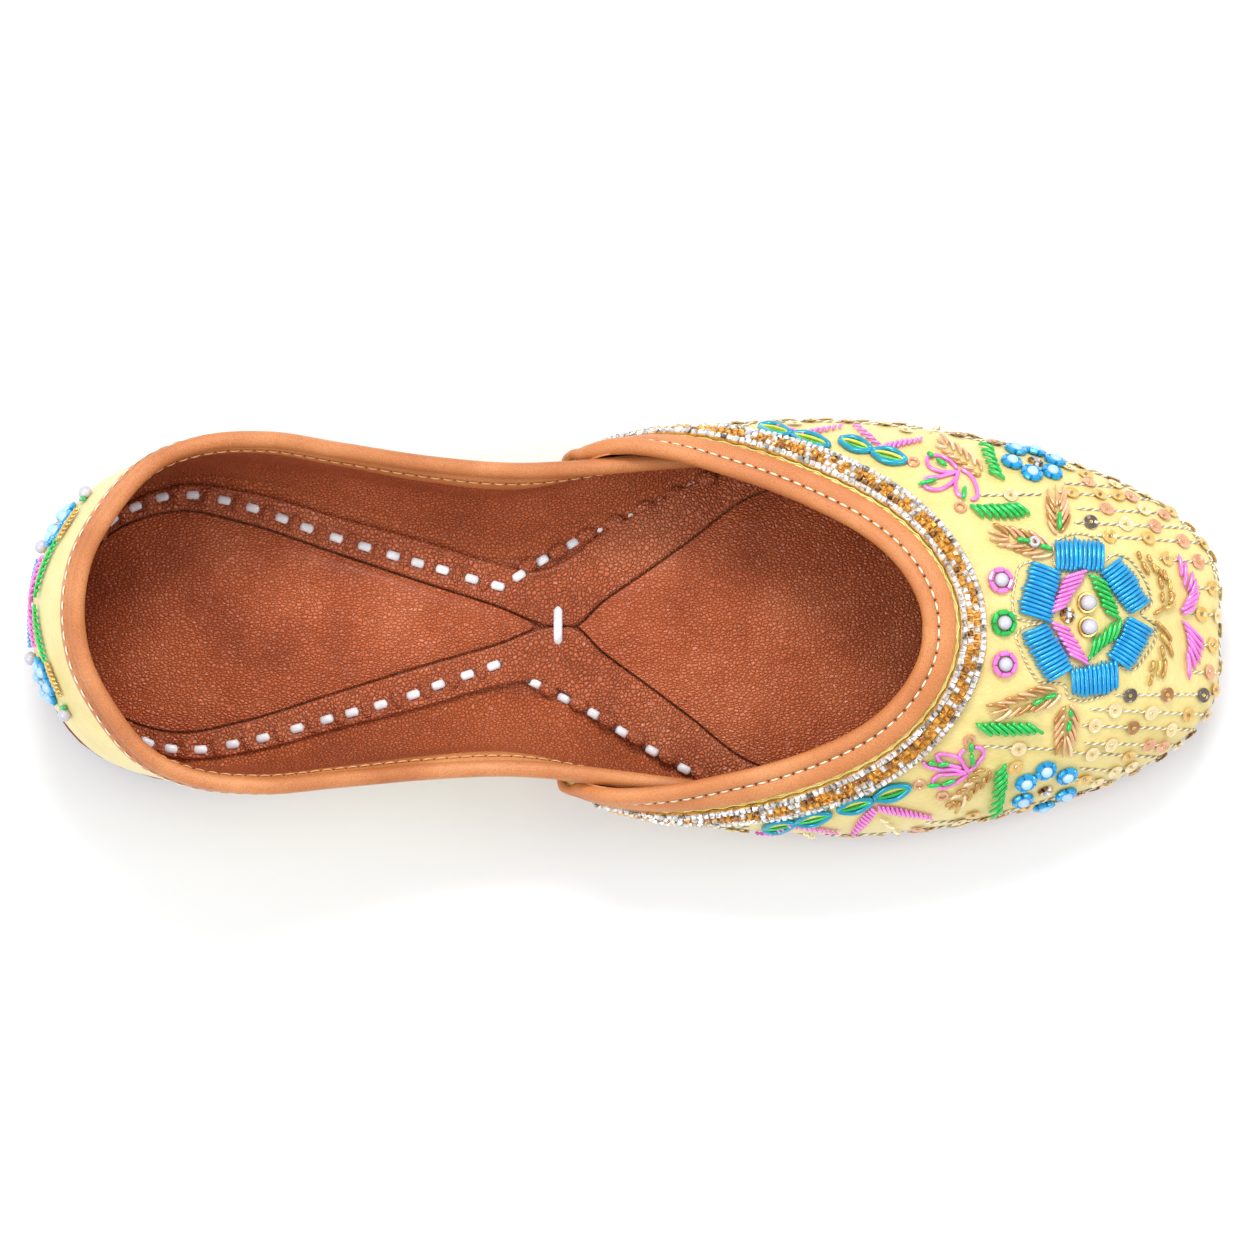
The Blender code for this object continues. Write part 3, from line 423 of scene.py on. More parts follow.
# Short green bugles: from, to
BUGLES = (
    ((1015, 776), (1030, 778)),
    ((1038, 782), (1051, 786)),
    ((1058, 748), (1058, 767)),
    ((1031, 939), (1042, 933)),
    ((1042, 933), (1056, 928)),
    ((1068, 944), (1070, 951)),
    ((1069, 954), (1066, 966)),
    ((926, 691), (933, 695)),
    ((935, 697), (946, 704)),
    ((917, 722), (937, 717)),
    ((964, 723), (962, 737)),
    ((970, 976), (970, 986)),
    ((970, 986), (972, 1000)),
    ((927, 995), (935, 997)),
    ((936, 998), (949, 996)),
    ((926, 1018), (940, 1017)),
    ((940, 1017), (955, 1012)),
)

# Wavy outlines of the butterfly motifs.
LOOPS = (
    ("pink", ((958, 706), (947, 696), (934, 692), (927, 694), (928, 702), (940, 708), (958, 708))),
    ("pink", ((958, 708), (940, 713), (924, 717), (924, 722), (938, 726), (950, 720), (959, 710))),
    ("pink", ((958, 707), (955, 720), (957, 730), (963, 734))),
    ("pink", ((960, 705), (970, 712), (976, 724), (976, 734), (970, 736))),
    ("pink", ((967, 1006), (958, 992), (948, 989), (936, 990), (938, 994), (950, 999), (962, 1002))),
    ("pink", ((967, 1007), (952, 1003), (938, 1003), (924, 998), (922, 995))),
    ("pink", ((967, 1007), (950, 1008), (936, 1010), (932, 1015), (938, 1021), (952, 1018), (968, 1008))),
    ("pink", ((968, 1006), (976, 998), (983, 986), (980, 982), (973, 982))),
    ("pink", ((968, 1006), (962, 996), (959, 990), (964, 983))),
)

# Teal chains: centre line of each loop, in picture pixels, and half width
CHAINS = (
    ((758, 663), (792, 671), 5.0),
    ((790, 671), (831, 683), 5.5),
    ((838, 676), (872, 687), 6.0),
    ((870, 688), (907, 698), 6.5),
    ((762, 1062), (796, 1056), 5.0),
    ((794, 1056), (832, 1047), 5.5),
    ((836, 1044), (874, 1033), 6.0),
    ((872, 1032), (911, 1020), 6.5),
)

# Pearls in a ring of bugles: ring colour, place
ROSETTES = (
    ("pink", (1000, 816)),
    ("green", (1003, 858)),
    ("pink", (1004, 899)),
)
CENTRE_PEARLS = ((1086, 838), (1087, 862))
CRYSTALS = ((1067, 850), (1035, 698), (1045, 1025))
BLUE_PEARLS = (
    (1015, 687), (1011, 699), (1031, 710), (1051, 709), (1054, 698), (1034, 689),
    (1045, 1004), (1066, 1009), (1065, 1027), (1044, 1039), (1022, 1033), (1025, 1016),
)
RINGS = ((960, 743), (969, 975), (913, 698), (919, 1019), (942, 1030))
WHITE_RINGS = ((1033, 778),)

# Couched cord round the flower.
OUTLINE = (
    (1052, 790), (1056, 776), (1066, 771), (1079, 769), (1092, 772), (1102, 780), (1103, 797),
    (1113, 790), (1126, 793), (1139, 806), (1149, 826), (1151, 838), (1141, 848), (1154, 860),
    (1155, 872), (1146, 890), (1131, 905), (1118, 902), (1117, 915), (1110, 926), (1096, 933),
    (1080, 936), (1068, 932), (1064, 920), (1050, 918), (1040, 917), (1030, 905), (1021, 886),
    (1016, 870), (1024, 862), (1042, 858), (1016, 852), (1012, 838), (1015, 818), (1020, 801),
    (1030, 797), (1046, 803), (1054, 804), (1052, 790),
)

# Rows of thread that carry the sequins: from and to
THREAD_ROWS = (
    ((1064, 719), (1124, 723)),
    ((1058, 728), (1160, 736)),
    ((1076, 744), (1186, 750)),
    ((1074, 758), (1198, 764)),
    ((1096, 771), (1210, 779)),
    ((1158, 794), (1218, 799)),
    ((1198, 823), (1221, 824)),
    ((1188, 848), (1214, 850)),
    ((1203, 880), (1223, 881)),
    ((1192, 907), (1224, 908)),
    ((1114, 930), (1224, 929)),
    ((1090, 944), (1220, 950)),
    ((1082, 960), (1206, 965)),
    ((1084, 978), (1196, 980)),
    ((983, 981), (1054, 984)),
    ((1070, 987), (1166, 992)),
    ((1080, 1003), (1152, 1008)),
    ((1076, 1013), (1130, 1018)),
    ((1072, 1030), (1112, 1027)),
    ((980, 731), (1042, 730)),
    ((925, 1057), (1018, 1052)),
)
SEQUINS = (
    ("cream", (1068, 704)), ("gold", (1085, 711)), ("peach", (1088, 719)), ("cream", (1114, 721)),
    ("gold", (1071, 729)), ("gold", (1099, 731)), ("peach", (1130, 733)), ("cream", (1010, 731)),
    ("peach", (1106, 745)), ("cream", (1143, 746)), ("gold", (1170, 748)), ("dark", (1090, 758)),
    ("cream", (1125, 760)), ("peach", (1154, 762)), ("gold", (1109, 772)), ("gold", (1147, 774)),
    ("peach", (1182, 777)), ("gold", (1166, 794)), ("peach", (1197, 797)), ("gold", (1211, 823)),
    ("gold", (1200, 849)), ("gold", (1211, 880)), ("peach", (1208, 907)), ("dark", (1129, 930)),
    ("brown", (1166, 929)), ("dark", (1202, 930)), ("cream", (1114, 945)), ("cream", (1150, 947)),
    ("gold", (1187, 949)), ("gold", (1209, 950)), ("cream", (1094, 960)), ("brown", (1132, 962)),
    ("cream", (1170, 964)), ("cream", (1110, 979)), ("peach", (1148, 979)), ("cream", (1182, 980)),
    ("cream", (1018, 983)), ("cream", (1091, 988)), ("gold", (1128, 990)), ("gold", (1015, 1001)),
    ("cream", (1114, 1005)), ("brown", (1140, 1007)), ("gold", (1084, 1013)), ("cream", (1096, 1016)),
    ("peach", (1083, 1030)), ("cream", (959, 1055)), ("gold", (987, 1054)), ("peach", (1008, 1053)),
)

# Rows low on the walls: distances from the sole over the wall, and where the rows start.
WALL_ROWS = (0.0030, 0.0066, 0.0102, 0.0138, 0.0174)
WALL_PITCH = 0.0078
WALL_ROW_STARTS = 0.470
WALL_ROW_END = 0.004
WALL_SAMPLE = 0.0005
THREAD_ROOM = 0.0024
SEQUIN_ROOM = 0.0033
SHORTEST_RUN = 24

# Motif round the back of the heel, in picture pixels along the wall and up from the floor.
# Each row is on both sides of HEEL_MIDDLE.
HEEL_MIDDLE = 14
HEEL_CURVE = 0.036
HEEL_LEAVES = (
    ("blue", (4, 98), (42, 106), (3, 30)),
    ("pink", (4, 130), (44, 146), (10, 14)),
    ("green", (8, 160), (66, 178), (12, 14)),
    ("gold", (70, 182), (106, 180), (10, 10)),
)
HEEL_FLOWER = (84, 146)
HEEL_FLOWER_RADIUS = 16.5
HEEL_PETALS = 6
HEEL_PEARLS = ((56, 124), (126, 166))
HEEL_HOOK = ((117, 158), (121, 176))

# Colours as seen, 0 to 255
COLOURS = {
    "blue": (0, 146, 208),
    "teal": (0, 142, 172),
    "pink": (226, 120, 206),
    "green": (20, 180, 72),
    "tan": (214, 164, 118),
    "bronze": (186, 138, 66),
    "copper": (184, 128, 66),
    "shell": (236, 196, 156),
    "cream": (236, 222, 178),
    "gold": (205, 168, 84),
    "lime": (206, 218, 60),
}
METALS = ("bronze", "gold", "copper")


def linear(colour):
    """Colour as a shader wants it, from the one seen."""
    values = []
    for part in colour:
        part = part / 255
        values.append(part / 12.92 if part <= 0.04045 else ((part + 0.055) / 1.055) ** 2.4)
    return (*values, 1.0)


def knot_slopes(knots, values):
    steps = np.diff(knots, axis=-1)[..., None]
    secants = np.diff(values, axis=-2) / steps
    weight = steps[..., 1:, :] / (steps[..., 1:, :] + steps[..., :-1, :])
    inner = secants[..., :-1, :] * weight + secants[..., 1:, :] * (1 - weight)
    return np.concatenate([secants[..., :1, :], inner, secants[..., -1:, :]], axis=-2)


def smooth_curve(knots, values, at):
    """Points of the smooth curve through values, with one set of knots for all or one for each."""
    at = np.asarray(at, float)
    slopes = knot_slopes(knots, values)
    if knots.ndim == 1:
        index = np.clip(np.searchsorted(knots, at) - 1, 0, len(knots) - 2)
        low = (index,)
        high = (index + 1,)
    else:
        index = (at[:, None] > knots[:, 1:-1]).sum(1)
        rows = np.arange(len(at))
        low = (rows, index)
        high = (rows, index + 1)
    span = (knots[high] - knots[low])[:, None]
    share = np.clip((at - knots[low])[:, None] / span, 0, 1)
    square = share * share
    cube = square * share
    start = values[low] * (2 * cube - 3 * square + 1) + slopes[low] * span * (cube - 2 * square + share)
    return start + values[high] * (3 * square - 2 * cube) + slopes[high] * span * (cube - square)


def smooth_step(share):
    share = np.clip(share, 0.0, 1.0)
    return share * share * (3 - 2 * share)


def from_heel(share):
    return share * LENGTH - HALF_LENGTH


def sole_bottom(x):
    """Height of the sole's underside above the floor."""
    x = np.atleast_1d(np.asarray(x, float))
    knots = np.array([from_heel(row[1]) for row in SOLE_RISE])
    heights = np.array([[row[2] * (HEEL_LIFT + GAP) + row[3] * TOE_SPRING] for row in SOLE_RISE])
    found = np.maximum(smooth_curve(knots, heights, x)[:, 0], 0.0)
    places = {row[0]: from_heel(row[1]) for row in SOLE_RISE}
    found[(x >= places["tread"]) & (x <= places["tread front"])] = 0.0
    found[x <= places["seat"]] = HEEL_LIFT + GAP
    return found


def sole_top(x):
    return sole_bottom(x) + SOLE_THICKNESS


def insole_top(x):
    return sole_top(x) + GAP + INSOLE_THICKNESS


def lengths_along(places):
    """Length of the line at each of its places."""
    return np.concatenate([[0.0], np.cumsum(np.linalg.norm(np.diff(places, axis=0), axis=1))])


def unit(vectors):
    return vectors / np.maximum(np.linalg.norm(vectors, axis=-1, keepdims=True), 1e-12)


def control_points(row, height):
    foot_x = from_heel(row[1])
    foot = np.array((foot_x, row[2] * HALF_BALL, sole_top(foot_x)[0] + GAP))
    belly = np.array((from_heel(row[3]), row[4] * HALF_BALL, row[5] * height))
    top = np.array((from_heel(row[6]), row[7] * HALF_BALL, row[8] * height))
    points = [foot, belly]
    for run in (0.15, 0.50):
        arch = math.sqrt(1 - (1 - run) ** 2)
        rise = run * (1 - row[9]) + arch * row[9]
        point = belly + (top - belly) * run
        point[2] = belly[2] + (top[2] - belly[2]) * rise
        points.append(point)
    points.append(top)
    return points


class Sheet:
    """Smooth outer face of a leather sheet. u runs along the stations and v from the foot up."""

    def __init__(self, rows, height, mirrored_at, has_rear):
        half = np.array([control_points(row, height) for row in rows])
        other = half * np.array((1.0, -1.0, 1.0))
        if mirrored_at == "first":
            stations = np.concatenate([other[:0:-1], half])
        else:
            stations = np.concatenate([half, other[-2::-1]])
        if has_rear:
            along = smooth_step(((stations[:, 4, 0] + HALF_LENGTH) / LENGTH - SKEW_START) / SKEW_RUN)
            shares = np.array((0.0, 0.0, 0.3, 0.7, 1.0))
            stations[:, :, 1] -= THROAT_SKEW * shares[None, :] * along[:, None]
        self.stations = stations
        self.has_rear = has_rear
        low = np.linalg.norm(np.diff(stations[:, 1], axis=0), axis=1)
        top = np.linalg.norm(np.diff(stations[:, 4], axis=0), axis=1)
        knots = np.concatenate([[0.0], np.cumsum((low + top) / 2)])
        self.run = knots[-1]
        self.knots = knots / knots[-1]
        self.facing = 1.0
        at = self.knots[len(self.knots) // 4:len(self.knots) // 4 + 1]
        middle = np.array([0.5])
        if self.normal(at, middle)[0, 1] * self.point(at, middle)[0, 1] < 0:
            self.facing = -1.0

    def profile(self, u):
        flat = self.stations.reshape(len(self.stations), -1)
        points = smooth_curve(self.knots, flat, u).reshape(len(u), 5, 3)
        chords = np.linalg.norm(np.diff(points, axis=1), axis=2)
        lengths = np.concatenate([np.zeros((len(u), 1)), np.cumsum(chords, axis=1)], axis=1)
        return points, lengths

    def height_along(self, u):
        return self.profile(u)[1][:, -1]

    def point(self, u, v):
        points, lengths = self.profile(u)
        return smooth_curve(lengths, points, v * lengths[:, -1])

    def slopes(self, u, v):
        low_u = np.maximum(u - SMALL, 0.0)
        high_u = np.minimum(u + SMALL, 1.0)
        low_v = np.maximum(v - SMALL, 0.0)
        high_v = np.minimum(v + SMALL, 1.0)
        along = (self.point(high_u, v) - self.point(low_u, v)) / (high_u - low_u)[:, None]
        up = (self.point(u, high_v) - self.point(u, low_v)) / (high_v - low_v)[:, None]
        return along, up

    def normal(self, u, v):
        along, up = self.slopes(u, v)
        return unit(np.cross(along, up)) * self.facing

    def corner_u(self):
        top = self.stations[:, 4]
        return WING_REAR_ROUND / np.linalg.norm(top[1] - top[0]) * self.knots[1]

    def rear_start(self, v):
        """u of the wing's rear edge, with its top corner rounded off."""
        if not self.has_rear:
            return v * 0.0
        share = np.clip((v - 1 + WING_CORNER) / WING_CORNER, 0.0, 1.0)
        return self.corner_u() * (1 - np.sqrt(1 - share * share))

    def wall_at(self, u, v):
        depth = (1 - v) * self.height_along(u)
        full = WALL + 0.0 * u
        if self.has_rear:
            share = (self.point(u, v)[:, 0] + HALF_LENGTH) / LENGTH
            full = full + LAP_SINK * (1 - smooth_step((share - LAP_END) / LAP_FADE))
        return EDGE_WALL + (full - EDGE_WALL) * smooth_step(depth / SKIVE)

    def offset(self, u, v, distance):
        distance = np.broadcast_to(distance, u.shape)
        return self.point(u, v) + self.normal(u, v) * distance[:, None]

    def walk(self, u, v, direction, distance):
        """Go a distance over the surface from each u, v and give the u, v reached."""
        distance = np.broadcast_to(distance, u.shape).astype(float)
        steps = max(int(math.ceil(distance.max() / WALK_STEP)), 1)
        step = distance / steps
        heading = direction.copy()
        for _ in range(steps):
            along, up = self.slopes(u, v)
            normal = unit(np.cross(along, up))
            heading = unit(heading - normal * (heading * normal).sum(1, keepdims=True))
            aa = (along * along).sum(1)
            ab = (along * up).sum(1)
            bb = (up * up).sum(1)
            ha = (heading * along).sum(1)
            hb = (heading * up).sum(1)
            det = aa * bb - ab * ab
            u = np.clip(u + step * (ha * bb - hb * ab) / det, 0.0, 1.0)
            v = np.clip(v + step * (hb * aa - ha * ab) / det, 0.0, 1.0)
        return u, v


class Pile:
    """Many small things gathered into one mesh, with a material for each colour."""

    def __init__(self):
        self.verts = []
        self.faces = []
        self.slots = []
        self.names = []
        self.count = 0

    def add(self, verts, faces, material):
        if material not in self.names:
            self.names.append(material)
        slot = self.names.index(material)
        self.verts.append(np.asarray(verts, float))
        for face in faces:
            self.faces.append([index + self.count for index in face])
        self.slots.extend([slot] * len(faces))
        self.count += len(verts)

    def build(self, name, smooth_angle=SHEET_SHARP):
        mesh = bpy.data.meshes.new(name)
        verts = np.concatenate(self.verts)
        mesh.from_pydata(verts.tolist(), [], self.faces)
        for material in self.names:
            mesh.materials.append(bpy.data.materials[material])
        mesh.polygons.foreach_set("material_index", self.slots)
        mesh.shade_smooth()
        mesh.set_sharp_from_angle(angle=smooth_angle)
        return piece(name, mesh)


def piece(name, mesh):
    thing = bpy.data.objects.new(name, mesh)
    bpy.context.scene.collection.objects.link(thing)
    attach(thing, "root")
    return thing


def grid_faces(columns, rows):
    """Faces between neighbouring rings of places."""
    faces = []
    for i in range(columns - 1):
        for j in range(rows):
            k = (j + 1) % rows
            faces.append((i * rows + j, (i + 1) * rows + j, (i + 1) * rows + k, i * rows + k))
    return faces


def facing_out(mesh):
    """Turn the faces of a closed mesh outwards."""
    graph = bmesh.new()
    graph.from_mesh(mesh)
    bmesh.ops.recalc_face_normals(graph, faces=graph.faces)
    graph.to_mesh(mesh)
    graph.free()


def end_faces(columns, count):
    """Faces that close both ends of a closed grid."""
    return [tuple(base + k for k in range(count)) for base in (0, (columns - 1) * count)]


def solid(name, verts, faces, materials, smooth_angle, slots=None):
    """Piece of one closed mesh, with its faces turned out."""
    mesh = bpy.data.meshes.new(name)
    mesh.from_pydata(np.reshape(verts, (-1, 3)).tolist(), [], faces)
    for material in materials:
        mesh.materials.append(bpy.data.materials[material])
    if slots is not None:
        mesh.polygons.foreach_set("material_index", slots)
    facing_out(mesh)
    mesh.shade_smooth()
    mesh.set_sharp_from_angle(angle=smooth_angle)
    return piece(name, mesh)


def tube(centres, ups, radii, sides=8, flat=1.0):
    """Closed tube along centres. ups point away from the ground, flat squeezes it towards it."""
    centres = np.asarray(centres, float)
    ups = np.broadcast_to(np.asarray(ups, float), centres.shape)
    radii = np.broadcast_to(np.asarray(radii, float), (len(centres),))
    tangents = unit(np.gradient(centres, axis=0))
    across = unit(np.cross(tangents, ups))
    lifted = np.cross(across, tangents)
    angles = np.arange(sides) * 2 * math.pi / sides
    ring = across[:, None, :] * np.cos(angles)[None, :, None]
    ring = ring + lifted[:, None, :] * (np.sin(angles) * flat)[None, :, None]
    verts = centres[:, None, :] + ring * radii[:, None, None]
    verts = verts.reshape(-1, 3)
    faces = grid_faces(len(centres), sides)
    last = (len(centres) - 1) * sides
    faces.append(tuple(range(sides)))
    faces.append(tuple(last + sides - 1 - k for k in range(sides)))
    return verts, faces


def round_ends(count, radius, share=0.22):
    """Radii along a strand whose ends are rounded."""
    at = np.linspace(0, 1, count)
    edge = np.minimum(at, 1 - at) / share
    return radius * np.sqrt(np.clip(1 - (1 - np.clip(edge, 0, 1)) ** 2, 0.04, 1))


class Line:
    """A line on a surface, with the surface's normal, by its length."""

    def __init__(self, places, normals):
        self.places = np.asarray(places, float)
        self.normals = np.asarray(normals, float)
        self.lengths = lengths_along(self.places)
        self.length = self.lengths[-1]

    def at(self, distances):
        distances = np.atleast_1d(distances)
        places = np.stack([np.interp(distances, self.lengths, self.places[:, k]) for k in range(3)], 1)
        normals = np.stack([np.interp(distances, self.lengths, self.normals[:, k]) for k in range(3)], 1)
        return places, unit(normals)

    def piece_of(self, start, end, count):
        return self.at(np.linspace(start, end, count))


def dashes(pile, line, length, pitch, radius, lift, material, margin):
    """Stitches along a line, but for a margin at both ends."""
    at = margin
    while at + length < line.length - margin:
        places, normals = line.piece_of(at, at + length, 6)
        arch = np.sin(np.linspace(0, math.pi, 6)) * radius * 0.5
        centres = places + normals * (lift + arch)[:, None]
        verts, faces = tube(centres, normals, round_ends(6, radius, 0.3), 7, 0.6)
        pile.add(verts, faces, material)
        at += pitch


def twisted(pile, line, radius, pitch, materials, start=0.0):
    """Thin strands twisted round each other along a line."""
    count = max(int((line.length - start) / (pitch / 8)), 6)
    at = np.linspace(start, line.length, count)
    places, normals = line.at(at)
    tangents = unit(np.gradient(places, axis=0))
    across = unit(np.cross(tangents, normals))
    for k, material in enumerate(materials):
        angle = at / pitch * 2 * math.pi + k * 2 * math.pi / len(materials)
        offset = across * np.cos(angle)[:, None] + normals * np.sin(angle)[:, None]
        centres = places + normals * radius + offset * radius * 0.8
        verts, faces = tube(centres, normals, round_ends(count, radius, 0.03), 5)
        pile.add(verts, faces, material)


def ball(centre, up, radius, squeeze=1.0, rings=8, sides=14):
    """Round bead whose pole points up."""
    centre = np.asarray(centre, float)
    up = unit(np.asarray(up, float))
    side = unit(np.cross(up, np.array((1.0, 0.03, 0.02))))
    other = np.cross(up, side)
    verts = []
    for i in range(1, rings):
        polar = math.pi * i / rings
        for k in range(sides):
            angle = 2 * math.pi * k / sides
            out = side * math.cos(angle) + other * math.sin(angle)
            verts.append(centre + (out * math.sin(polar) + up * math.cos(polar) * squeeze) * radius)
    faces = []
    for i in range(rings - 2):
        for k in range(sides):
            n = (k + 1) % sides
            faces.append((i * sides + k, (i + 1) * sides + k, (i + 1) * sides + n, i * sides + n))
    top = len(verts)
    verts.append(centre + up * radius * squeeze)
    verts.append(centre - up * radius * squeeze)
    last = (rings - 2) * sides
    for k in range(sides):
        n = (k + 1) % sides
        faces.append((top, k, n))
        faces.append((top + 1, last + n, last + k))
    return verts, faces


def turned(centre, up, profile, sides, twist=0.0):
    """Body turned round up from (radius, height) pairs."""
    centre = np.asarray(centre, float)
    up = unit(np.asarray(up, float))
    side = unit(np.cross(up, np.array((1.0, 0.03, 0.02))))
    other = np.cross(up, side)
    verts = []
    for k in range(sides):
        angle = twist + 2 * math.pi * k / sides
        out = side * math.cos(angle) + other * math.sin(angle)
        for radius, height in profile:
            verts.append(centre + out * radius + up * height)
    rows = len(profile)
    faces = []
    for k in range(sides):
        n = (k + 1) % sides
        for j in range(rows):
            m = (j + 1) % rows
            faces.append((k * rows + j, n * rows + j, n * rows + m, k * rows + m))
    return verts, faces


# Materials

def new_material(name):
    material = bpy.data.materials.new(name)
    material.use_nodes = True
    tree = material.node_tree
    shader = tree.nodes["Principled BSDF"]
    return material, tree, shader


def add_node(tree, kind, **sockets):
    node = tree.nodes.new(kind)
    for key, value in sockets.items():
        node.inputs[key.replace("_", " ")].default_value = value
    return node


def textured(tree, vector, kind, **sockets):
    """Node laid out by a vector."""
    node = add_node(tree, kind, **sockets)
    tree.links.new(vector, node.inputs["Vector"])
    return node


def object_places(tree):
    return tree.nodes.new("ShaderNodeTexCoord").outputs["Object"]


def mixed(tree, first, second, factor, blend="MIX"):
    """Two colours mixed. The factor is a number or a socket."""
    node = tree.nodes.new("ShaderNodeMix")
    node.data_type = "RGBA"
    node.blend_type = blend
    if isinstance(factor, float):
        node.inputs[0].default_value = factor
    else:
        tree.links.new(factor, node.inputs[0])
    for colour, socket in zip((first, second), MIX_COLOURS):
        if isinstance(colour, tuple):
            node.inputs[socket].default_value = colour
        else:
            tree.links.new(colour, node.inputs[socket])
    return node.outputs[2]


def ramp(tree, source, stops):
    node = tree.nodes.new("ShaderNodeValToRGB")
    band = node.color_ramp
    band.elements[0].position = stops[0][0]
    band.elements[0].color = stops[0][1]
    band.elements[1].position = stops[-1][0]
    band.elements[1].color = stops[-1][1]
    for place, colour in stops[1:-1]:
        element = band.elements.new(place)
        element.color = colour
    tree.links.new(source, node.inputs["Fac"])
    return node.outputs["Color"]


def bump(tree, shader, height, strength, distance, before=None):
    node = add_node(tree, "ShaderNodeBump", Strength=strength, Distance=distance)
    tree.links.new(height, node.inputs["Height"])
    if before is not None:
        tree.links.new(before, node.inputs["Normal"])
    tree.links.new(node.outputs["Normal"], shader.inputs["Normal"])
    return node.outputs["Normal"]


def grey(value):
    return (value, value, value, 1.0)


def leather(name, dark, mid, light, grain, grain_strength, roughness, stretch=(1.0, 1.0, 1.0), coat=0.0):
    """Grained leather, with painted shade in the creases between the pebbles. grain is the number of pebbles
    to a metre.
    """
    material, tree, shader = new_material(name)
    coordinates = object_places(tree)
    mapping = textured(tree, coordinates, "ShaderNodeMapping", Scale=stretch)
    warp = textured(tree, mapping.outputs["Vector"], "ShaderNodeTexNoise", Scale=grain * 0.35, Detail=2.0)
    bend = tree.nodes.new("ShaderNodeMix")
    bend.data_type = "VECTOR"
    bend.inputs["Factor"].default_value = 1.1 / grain
    tree.links.new(mapping.outputs["Vector"], bend.inputs[MIX_VECTORS[0]])
    tree.links.new(warp.outputs["Color"], bend.inputs[MIX_VECTORS[1]])
    pebbles = textured(tree, bend.outputs[1], "ShaderNodeTexVoronoi", Scale=grain)
    pebbles.feature = "DISTANCE_TO_EDGE"
    domes = ramp(tree, pebbles.outputs["Distance"], ((0.0, grey(0.0)), (0.12, grey(0.55)), (0.42, grey(1.0))))
    fine = textured(tree, mapping.outputs["Vector"], "ShaderNodeTexNoise", Scale=grain * 2.6, Detail=3.0)
    patches = textured(tree, coordinates, "ShaderNodeTexNoise", Scale=55.0, Detail=4.0)
    tone = ramp(tree, patches.outputs["Fac"], ((0.30, dark), (0.52, mid), (0.74, light)))
    # Painted shade: the colour is darkened along the creases between the pebbles.
    shades = ((0.0, grey(0.60)), (0.14, grey(0.90)), (0.3, grey(1.0)))
    crease_shade = ramp(tree, pebbles.outputs["Distance"], shades)
    tree.links.new(mixed(tree, tone, crease_shade, 0.75, "MULTIPLY"), shader.inputs["Base Color"])
    rough = ramp(tree, patches.outputs["Fac"], ((0.3, grey(roughness + 0.07)), (0.7, grey(roughness - 0.05))))
    tree.links.new(rough, shader.inputs["Roughness"])
    first = bump(tree, shader, domes, grain_strength, 0.55 / grain)
    bump(tree, shader, fine.outputs["Fac"], 0.45, 0.14 / grain, first)
    shader.inputs["Coat Weight"].default_value = coat
    shader.inputs["Coat Roughness"].default_value = 0.28
    return material


def silk(name, ground, shade, warp_colour):
    """Woven silk by the sheet's own lengths, in millimetres."""
    material, tree, shader = new_material(name)
    place = tree.nodes.new("ShaderNodeUVMap").outputs["UV"]
    heights = []
    for direction in ("X", "Y"):
        wave = textured(tree, place, "ShaderNodeTexWave", Scale=0.55, Distortion=0.8, Detail=2.0)
        wave.bands_direction = direction
        heights.append(wave.outputs["Fac"])
    weave = tree.nodes.new("ShaderNodeMath")
    weave.operation = "MAXIMUM"
    tree.links.new(heights[0], weave.inputs[0])
    tree.links.new(heights[1], weave.inputs[1])
    slubs = add_node(tree, "ShaderNodeTexNoise", Scale=1.6, Detail=3.0)
    stretch = textured(tree, place, "ShaderNodeMapping", Scale=(0.5, 1.4, 1.0))
    tree.links.new(stretch.outputs["Vector"], slubs.inputs["Vector"])
    soft = textured(tree, place, "ShaderNodeTexNoise", Scale=0.11, Detail=2.0)
    tone = ramp(tree, soft.outputs["Fac"], ((0.32, shade), (0.62, ground)))
    threads = ramp(tree, slubs.outputs["Fac"], ((0.30, warp_colour), (0.66, grey(1.0))))
    tree.links.new(mixed(tree, tone, threads, 0.35, "MULTIPLY"), shader.inputs["Base Color"])
    shader.inputs["Roughness"].default_value = 0.52
    shader.inputs["Sheen Weight"].default_value = 0.35
    shader.inputs["Sheen Roughness"].default_value = 0.35
    first = bump(tree, shader, weave.outputs[0], 0.16, 0.00012)
    second = bump(tree, shader, slubs.outputs["Fac"], 0.25, 0.00015, first)
    bump(tree, shader, soft.outputs["Fac"], 0.45, 0.0012, second)
    return material


def strand_material(name, colour, light, roughness=0.30, metallic=0.25):
    """Glossy wire or thread with a fine coil."""
    material, tree, shader = new_material(name)
    coordinates = object_places(tree)
    uneven = textured(tree, coordinates, "ShaderNodeTexNoise", Scale=420.0, Detail=2.0)
    tone = ramp(tree, uneven.outputs["Fac"], ((0.30, linear(colour)), (0.72, linear(light))))
    tree.links.new(tone, shader.inputs["Base Color"])
    coil = textured(tree, coordinates, "ShaderNodeTexNoise", Scale=3200.0, Detail=1.0)
    bump(tree, shader, coil.outputs["Fac"], 0.25, 0.00008)
    rough = ramp(tree, uneven.outputs["Fac"], ((0.3, grey(roughness)), (0.7, grey(roughness * 0.75))))
    tree.links.new(rough, shader.inputs["Roughness"])
    shader.inputs["Metallic"].default_value = metallic
    shader.inputs["Coat Weight"].default_value = 0.5
    shader.inputs["Coat Roughness"].default_value = 0.14
    return material


def pearl_material(name, colour, light):
    material, tree, shader = new_material(name)
    # Painted shade: the colour runs from light where the pearl faces the camera to the darker colour towards
    # its rim.
    facing = add_node(tree, "ShaderNodeLayerWeight", Blend=0.35)
    tone = ramp(tree, facing.outputs["Facing"], ((0.0, linear(light)), (0.85, linear(colour))))
    tree.links.new(tone, shader.inputs["Base Color"])
    shader.inputs["Roughness"].default_value = 0.24
    shader.inputs["Coat Weight"].default_value = 0.7
    shader.inputs["Coat Roughness"].default_value = 0.08
    shader.inputs["Sheen Weight"].default_value = 0.2
    return material


